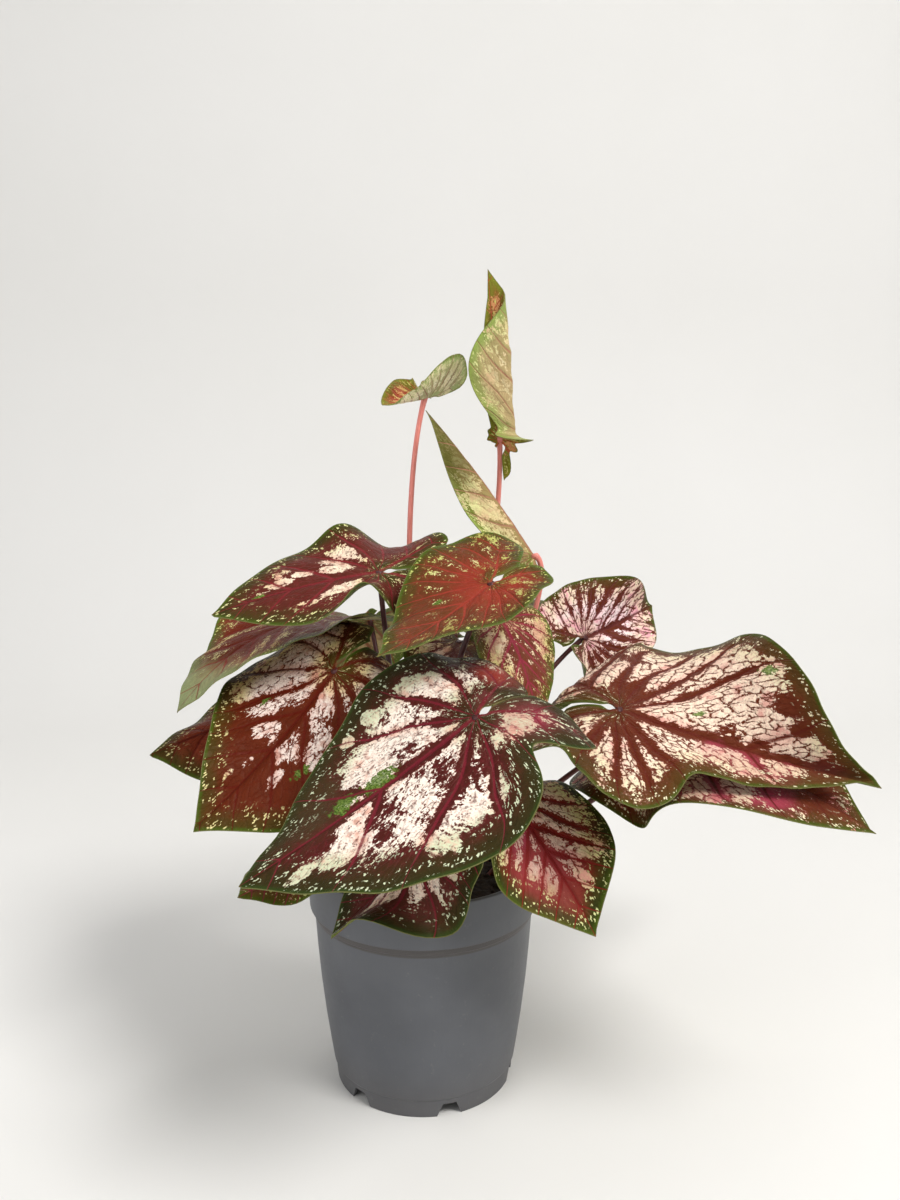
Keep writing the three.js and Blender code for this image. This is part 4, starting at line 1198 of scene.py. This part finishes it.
def normals_of(points, triangles):
    a, b, c = (points[triangles[:, i]] for i in range(3))
    crossed = np.cross(b - a, c - a)
    total = np.zeros_like(points)
    for i in range(3):
        np.add.at(total, triangles[:, i], crossed)
    return total / np.maximum(np.linalg.norm(total, axis=1), 1e-12)[:, None]


def away_from(points, line, closed=False):
    """Distance of flat points to a polyline."""
    ends = np.roll(line, -1, axis=0) if closed else line[1:]
    starts = line if closed else line[:-1]
    nearest = np.full(len(points), 1e9)
    for a, b in zip(starts, ends):
        along = b - a
        share = np.clip(((points - a) @ along) / max(along @ along, 1e-9), 0, 1)
        nearest = np.minimum(nearest, np.linalg.norm(points - a - share[:, None] * along, axis=1))
    return nearest


def build_blade(name, leaf, seed):
    """A thin blade with sunken veins above and raised ribs below."""
    look, changes = UPPER[name]
    look = {**LOOKS[look], **changes}
    *_, chord = frame_of(leaf)
    half_bow = math.radians(leaf["bow"]) / 2
    length = chord * half_bow / math.sin(half_bow) if abs(half_bow) > 1e-6 else chord
    rings = max(12, round(length / MESH_STEP))
    spokes = max(24, round(1.7 * length / MESH_STEP))
    columns = 2 * spokes + 1

    # Flat leaf: the hub, then rings of points out to the margin
    even = np.linspace(-1, 1, columns)
    spoke = np.sign(even) * np.abs(even) ** TIP_CROWDING
    ring = np.repeat(np.arange(1, rings + 1) / rings, columns)
    spoke = np.tile(spoke, rings)
    right = spoke >= 0
    degrees = np.abs(spoke) * 180
    uneven = 1 + 0.012 * ripple(degrees, right * 99.0, seed, 24)
    radius = ring * reach(leaf, right, degrees) * uneven * length
    by_hub = 1.25 * np.exp(-(((radius - 5) / 2.4) ** 2))
    further_out = 0.85 * smooth(0.2 * length, 0.4 * length, radius)
    slit = SLIT * (0.15 + by_hub + further_out)
    slit = np.degrees(np.arcsin(np.minimum(1, slit / np.maximum(radius, slit))))
    angle = np.radians(np.abs(spoke) * (180 - np.minimum(slit, 60)))
    x = np.concatenate([[0], radius * np.cos(angle)])
    y = np.concatenate([[0], radius * np.sin(angle)])
    ring = np.concatenate([[0], ring])
    degrees = np.concatenate([[0], degrees])
    right = np.concatenate([[True], right])
    signed = np.where(right, -y, y)
    flat = np.stack([x, signed], 1)

    def at(k, i):
        return 0 if k == 0 else 1 + (k - 1) * columns + i

    # Triangles of the middle surface, facing up
    k, i = np.meshgrid(np.arange(1, rings), np.arange(columns - 1), indexing="ij")
    a, b = 1 + (k - 1) * columns + i, 1 + (k - 1) * columns + i + 1
    c, d = b + columns, a + columns
    first = np.arange(columns - 1) + 1
    fan = np.stack([np.zeros(columns - 1, dtype=int), first + 1, first], 1)
    sheet = np.concatenate([
        fan, np.stack([a, b, c], 2).reshape(-1, 3), np.stack([a, c, d], 2).reshape(-1, 3),
    ])

    # Coordinates for the pattern: the vein field is uneven, as in a grown leaf
    outer = [at(rings, j) for j in range(columns)]
    margin = away_from(flat, flat[outer])
    slit_line = flat[[at(n, 0) for n in range(max(1, rings // 5), rings + 1)]]
    slit_other = flat[[at(n, columns - 1) for n in range(max(1, rings // 5), rings + 1)]]
    margin = np.minimum(margin, np.minimum(away_from(flat, slit_line), away_from(flat, slit_other)))
    shift = right * 400.0
    veined_x = x + 1.6 * ripple(x + shift, y, seed + 1, 34) * smooth(0, 10, y)
    veined_y = y * (1 + 0.09 * ripple(x + shift, y, seed + 2, 40))
    round_margin = np.concatenate([[0], np.cumsum(np.linalg.norm(np.diff(flat[outer], axis=0), axis=1))])
    edge = np.concatenate([[0], np.tile(round_margin, rings)])

    # Relief: blisters between the veins, waves along the margin and a slight unevenness
    _, near, _, along, off = vein_field(veined_x, veined_y, length, look["fans"], look["laterals"])
    off = np.where(along < -1, 99, off)
    bare = np.minimum(np.minimum(near, y), off)
    calm = smooth(0, 14, margin) * smooth(0, 0.22, ring)
    quilt = 0.75 * (1 - np.exp(-((bare / 3.4) ** 2))) * calm
    blister = 0.22 * ripple(veined_x + shift, y, seed + 3, 7) * calm
    frill = 0.7 * ripple(edge, right * 50.0, seed + 4, 22, 3) * smooth(13, 0, margin) * smooth(0, 12, y)
    sway = 0.9 * ripple(x + shift, y, seed + 5, 46) * smooth(0, 20, y) * smooth(0, 0.3, ring)
    middle = bend(leaf, length, ring, degrees, x, y, right)
    normals = normals_of(middle, sheet)
    middle = middle + normals * (quilt + blister + frill + sway - 0.35)[:, None]
    normals = normals_of(middle, sheet)
    thick = BLADE_THICKNESS * (0.55 + 0.45 * smooth(0, 3, margin)) / 2
    tapering = np.clip(1 - x / length, 0, 1) * smooth(-0.5, 0.5, x)
    raised = 0.9 * np.exp(-((y / 0.9) ** 2)) * tapering
    raised = np.maximum(raised, 0.55 * np.exp(-((off / 0.9) ** 2)) * smooth(length * 0.5, 0, along))
    groove = 0.28 * np.exp(-((y / 1.1) ** 2)) * tapering
    top = middle + normals * (thick - groove)[:, None]
    bottom = middle - normals * (thick + raised)[:, None]

    # The strip that closes the two faces round the margin and the notch
    outwards = [at(n, 0) for n in range(1, rings)]
    inwards = [at(n, columns - 1) for n in range(rings - 1, 0, -1)]
    rim = np.array([0, *outwards, *outer, *inwards])
    count = len(middle)
    following = np.roll(rim, -1)
    strip = np.concatenate([
        np.stack([rim, following, following + count], 1), np.stack([rim, following + count, rim + count], 1),
    ])
    faces = np.concatenate([sheet, sheet[:, ::-1] + count, strip])
    slots = np.concatenate([np.zeros(len(sheet)), np.ones(len(sheet) + len(strip))])
    young = name.startswith("young")
    under = {**LOOKS["young_under" if young else "under"], **UNDER.get(name, {})}
    materials = [
        leaf_finish(f"leaf_{name}_upper", look, length, seed, UPPER_ROUGHNESS),
        leaf_finish(f"leaf_{name}_under", under, length, seed, UNDER_ROUGHNESS),
    ]
    piece = make_object(f"leaf_{name}", np.concatenate([top, bottom]), faces.tolist(), materials, slots)
    mesh = piece.data
    zero = np.zeros(count)
    for key, columns_of in (
        ("lay", (veined_x, veined_y, margin)),
        ("flat", (x, signed, zero)),
        ("edge", (edge, np.where(right, 1.0, -1.0), zero)),
    ):
        write_points(mesh, key, np.tile(np.stack(columns_of, 1), (2, 1)))
    write_bake_map(mesh, flat, rim, faces, len(sheet), count)
    mesh.set_sharp_from_angle(angle=math.radians(BLADE_SHARP))
    ride_as(piece, f"blade_{name}")


def write_bake_map(mesh, flat, rim, faces, sheet_count, count):
    """The upper face fills the map's left half, the underside its right half.

    The strip that closes them lies just outside the upper face.
    """
    along = np.roll(flat[rim], -1, axis=0) - np.roll(flat[rim], 1, axis=0)
    outward = np.stack([-along[:, 1], along[:, 0]], 1)
    outward /= np.maximum(np.linalg.norm(outward, axis=1), 1e-9)[:, None]
    centre = flat.mean(axis=0)
    if ((flat[rim] - centre) * outward).sum() < 0:
        outward = -outward
    beside = flat.copy()
    beside[rim] += outward * 0.8
    low, high = flat.min(axis=0) - 2, flat.max(axis=0) + 2
    place = (np.concatenate([flat, beside]) - low) / (high - low)
    wide = np.stack([0.01 + 0.48 * place[:, 1], 0.01 + 0.98 * place[:, 0]], 1)
    corners = np.asarray(faces)
    chosen = wide[corners]
    under = slice(sheet_count, 2 * sheet_count)
    chosen[under] = wide[corners[under] - count]
    chosen[under, :, 0] += 0.5
    layer = mesh.uv_layers.new(name="OFBake")
    layer.uv.foreach_set("vector", chosen.reshape(-1).astype(np.float32))


# Stage: a pale floor that curves up into a pale wall behind
def build_floor():
    finish = Finish("pale_floor", **{"Roughness": 0.9})
    place = finish.node("ShaderNodeNewGeometry").outputs["Position"]
    cloud = finish.noise(place, 3.0, 2.0, flat=False)
    finish.feed("Base Color", finish.mix(cloud, linear(222, 221, 218), linear(228, 227, 225)))
    profile = [(FLOOR_FRONT, 0), (FLOOR_BACK, 0)]
    for turn in np.linspace(0.05, math.pi / 2, 24):
        rise = FLOOR_CURVE - FLOOR_CURVE * math.cos(turn)
        profile.append((FLOOR_BACK + FLOOR_CURVE * math.sin(turn), rise))
    profile.append((FLOOR_BACK + FLOOR_CURVE, BACKDROP_TOP))
    points = [(side * FLOOR_HALF_WIDTH, y, z) for side in (-1, 1) for y, z in profile]
    count = len(profile)
    faces = [(i, i + 1, i + 1 + count, i + count) for i in range(count - 1)]
    floor = make_object("pale_floor", points, [f[::-1] for f in faces], [finish.material])


def build_light(name, place, aim, size, power, colour):
    lamp = bpy.data.lights.new(name, "AREA")
    lamp.shape = "RECTANGLE"
    lamp.size, lamp.size_y = size
    lamp.energy = power
    lamp.color = colour
    made = bpy.data.objects.new(name, lamp)
    made.location = place
    direction = Vector(aim) - Vector(place)
    made.rotation_euler = direction.to_track_quat("-Z", "Y").to_euler()
    bpy.context.scene.collection.objects.link(made)


def build_camera():
    lens = bpy.data.cameras.new("camera")
    lens.sensor_fit = "VERTICAL"
    lens.sensor_height = SENSOR
    lens.lens = SENSOR * CAMERA_FOCAL_PX / PHOTO_HEIGHT_PX
    camera = bpy.data.objects.new("camera", lens)
    camera.location = [v * MM for v in CAMERA_PLACE]
    camera.rotation_euler = (math.radians(90 - CAMERA_DOWN), 0, 0)
    bpy.context.scene.collection.objects.link(camera)
    bpy.context.scene.camera = camera


build_camera()
build_pot()
build_soil()
petiole_dark = petiole_finish("petiole_dark", linear(122, 58, 46), linear(74, 30, 30), linear(46, 20, 20))
petiole_pink = petiole_finish(
    "petiole_pink", linear(206, 128, 112), linear(226, 136, 124), linear(184, 98, 88),
)
for number, (name, leaf) in enumerate(LEAVES.items()):
    build_petiole(name, leaf, petiole_pink if name.startswith("young") else petiole_dark)
    build_blade(name, leaf, 20 * number + 3)
build_floor()
for name, light in LIGHTS.items():
    build_light(name, *light)

scene = bpy.context.scene
scene.world = bpy.data.worlds.new("studio")
scene.world.use_nodes = True
scene.world.node_tree.nodes["Background"].inputs["Color"].default_value = (1.0, 1.0, 1.0, 1)
scene.world.node_tree.nodes["Background"].inputs["Strength"].default_value = SKY_STRENGTH
scene.view_settings.view_transform = "Standard"

bpy.context.view_layer.update()
